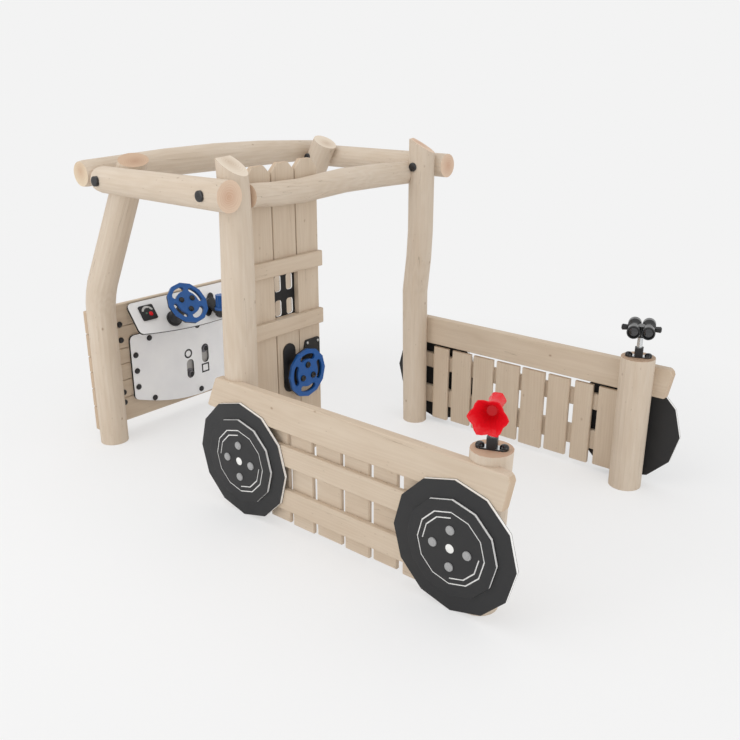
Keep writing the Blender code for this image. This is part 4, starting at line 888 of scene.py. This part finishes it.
for label, side in (("near", -1), ("far", 1)):
    for end in ("front", "rear"):
        node = f"hub_plate_{end}_{label}"
        low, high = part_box(node)
        seat = min(abs(low.y), abs(high.y))
        spot = Vector((middle(node).x, side * seat, middle(node).z))
        out = (0.0, side, 0.0)
        place = looking(spot, out)
        material = sheet(f"hub_sheet_{end}_{label}", CHARCOAL, SHEET_WHITE, Y_AXIS,
                         *sorted((side * seat, side * (seat + HUB_T))))
        disc = settle(hub, f"hub_disc_{end}_{label}", place, "frame", material)
        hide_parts(node)
        face = looking(spot + Vector((0.0, side * (HUB_T + 0.0001), 0.0)), out)
        for index, (x, y) in enumerate(((0.080, 0.0), (0.0, 0.080), (-0.080, 0.0), (0.0, -0.080))):
            settle(bolt, f"hub_bolt_{end}_{label}_{index + 1}", face @ Matrix.Translation((x, y, 0.0)),
                   "frame", GREY_CAP)
        settle(plug, f"hub_plug_{end}_{label}", face, "frame", WHITE_CAP)
discard(hub, bolt, plug)

# %% [markdown]
# ## Light and ground
# A pale studio floor runs into a backdrop of the same tone. A broad soft light from above and one from each
# side leave faint shadows under the boards and wheels.

# %% Studio
BACKDROP = "F3F3F3"
bpy.ops.object.select_all(action="DESELECT")
bpy.ops.mesh.primitive_plane_add(size=60.0, location=(0.0, 0.0, -0.0005))
floor = bpy.context.object
floor.name = "studio_floor"
made = bpy.data.materials.new("studio_paper")
made.use_nodes = True
tree = made.node_tree
tree.nodes.clear()
where = add(tree, "ShaderNodeTexCoord")
distance = add(tree, "ShaderNodeVectorMath", {0: where.outputs["Object"]}, operation="LENGTH")
fade = add(tree, "ShaderNodeMapRange", {"Value": distance.outputs["Value"], "From Min": 1.7, "From Max": 3.1,
                                        "To Min": 0.55, "To Max": 1.0})
paper = add(tree, "ShaderNodeBsdfDiffuse", {"Color": linear("F4F4F4")})
glow = add(tree, "ShaderNodeEmission", {"Color": linear(BACKDROP), "Strength": 1.0})
seen = add(tree, "ShaderNodeLightPath")
both = add(tree, "ShaderNodeMath", {0: fade.outputs[0], 1: seen.outputs["Is Camera Ray"]},
           operation="MULTIPLY")
blend = add(tree, "ShaderNodeMixShader", {0: both.outputs[0], 1: paper.outputs[0], 2: glow.outputs[0]})
add(tree, "ShaderNodeOutputMaterial", {"Surface": blend.outputs[0]})
floor.data.materials.append(made)

world = bpy.data.worlds.new("studio")
bpy.context.scene.world = world
world.use_nodes = True
tree = world.node_tree
tree.nodes.clear()
seen = add(tree, "ShaderNodeLightPath")
ambient = add(tree, "ShaderNodeBackground", {"Color": linear("FFFFFF"), "Strength": 0.80})
shown = add(tree, "ShaderNodeBackground", {"Color": linear(BACKDROP), "Strength": 1.0})
direct = add(tree, "ShaderNodeMath", {0: seen.outputs["Is Camera Ray"], 1: seen.outputs["Is Glossy Ray"]},
             operation="MAXIMUM")
mixed = add(tree, "ShaderNodeMixShader", {0: direct.outputs[0], 1: ambient.outputs[0], 2: shown.outputs[0]})
add(tree, "ShaderNodeOutputWorld", {"Surface": mixed.outputs[0]})


def softbox(name, place, aim, size, watts):
    """A square white area lamp at a place, aimed at another."""
    light = bpy.data.lights.new(name, "AREA")
    light.shape = "SQUARE"
    light.size = size
    light.energy = watts
    lamp = bpy.data.objects.new(name, light)
    lamp.matrix_world = looking(place, Vector(place) - Vector(aim), (0.0, 1.0, 0.3))
    bpy.context.scene.collection.objects.link(lamp)


softbox("overhead_softbox", (-0.6, -1.2, 5.0), (0.0, 0.0, 0.3), 4.0, 40.0)
softbox("left_softbox", (-1.5, -5.0, 2.2), (0.0, 0.0, 0.7), 3.0, 50.0)
softbox("right_softbox", (5.0, -1.2, 1.8), (-0.6, 0.0, 0.8), 3.0, 32.0)

bpy.context.scene.view_settings.view_transform = "Standard"

# %% [markdown]
# ## Finish
# The cap pattern is not needed once every cap is set, so the last cell removes it.

# %% Remove the cap pattern
discard(cap)
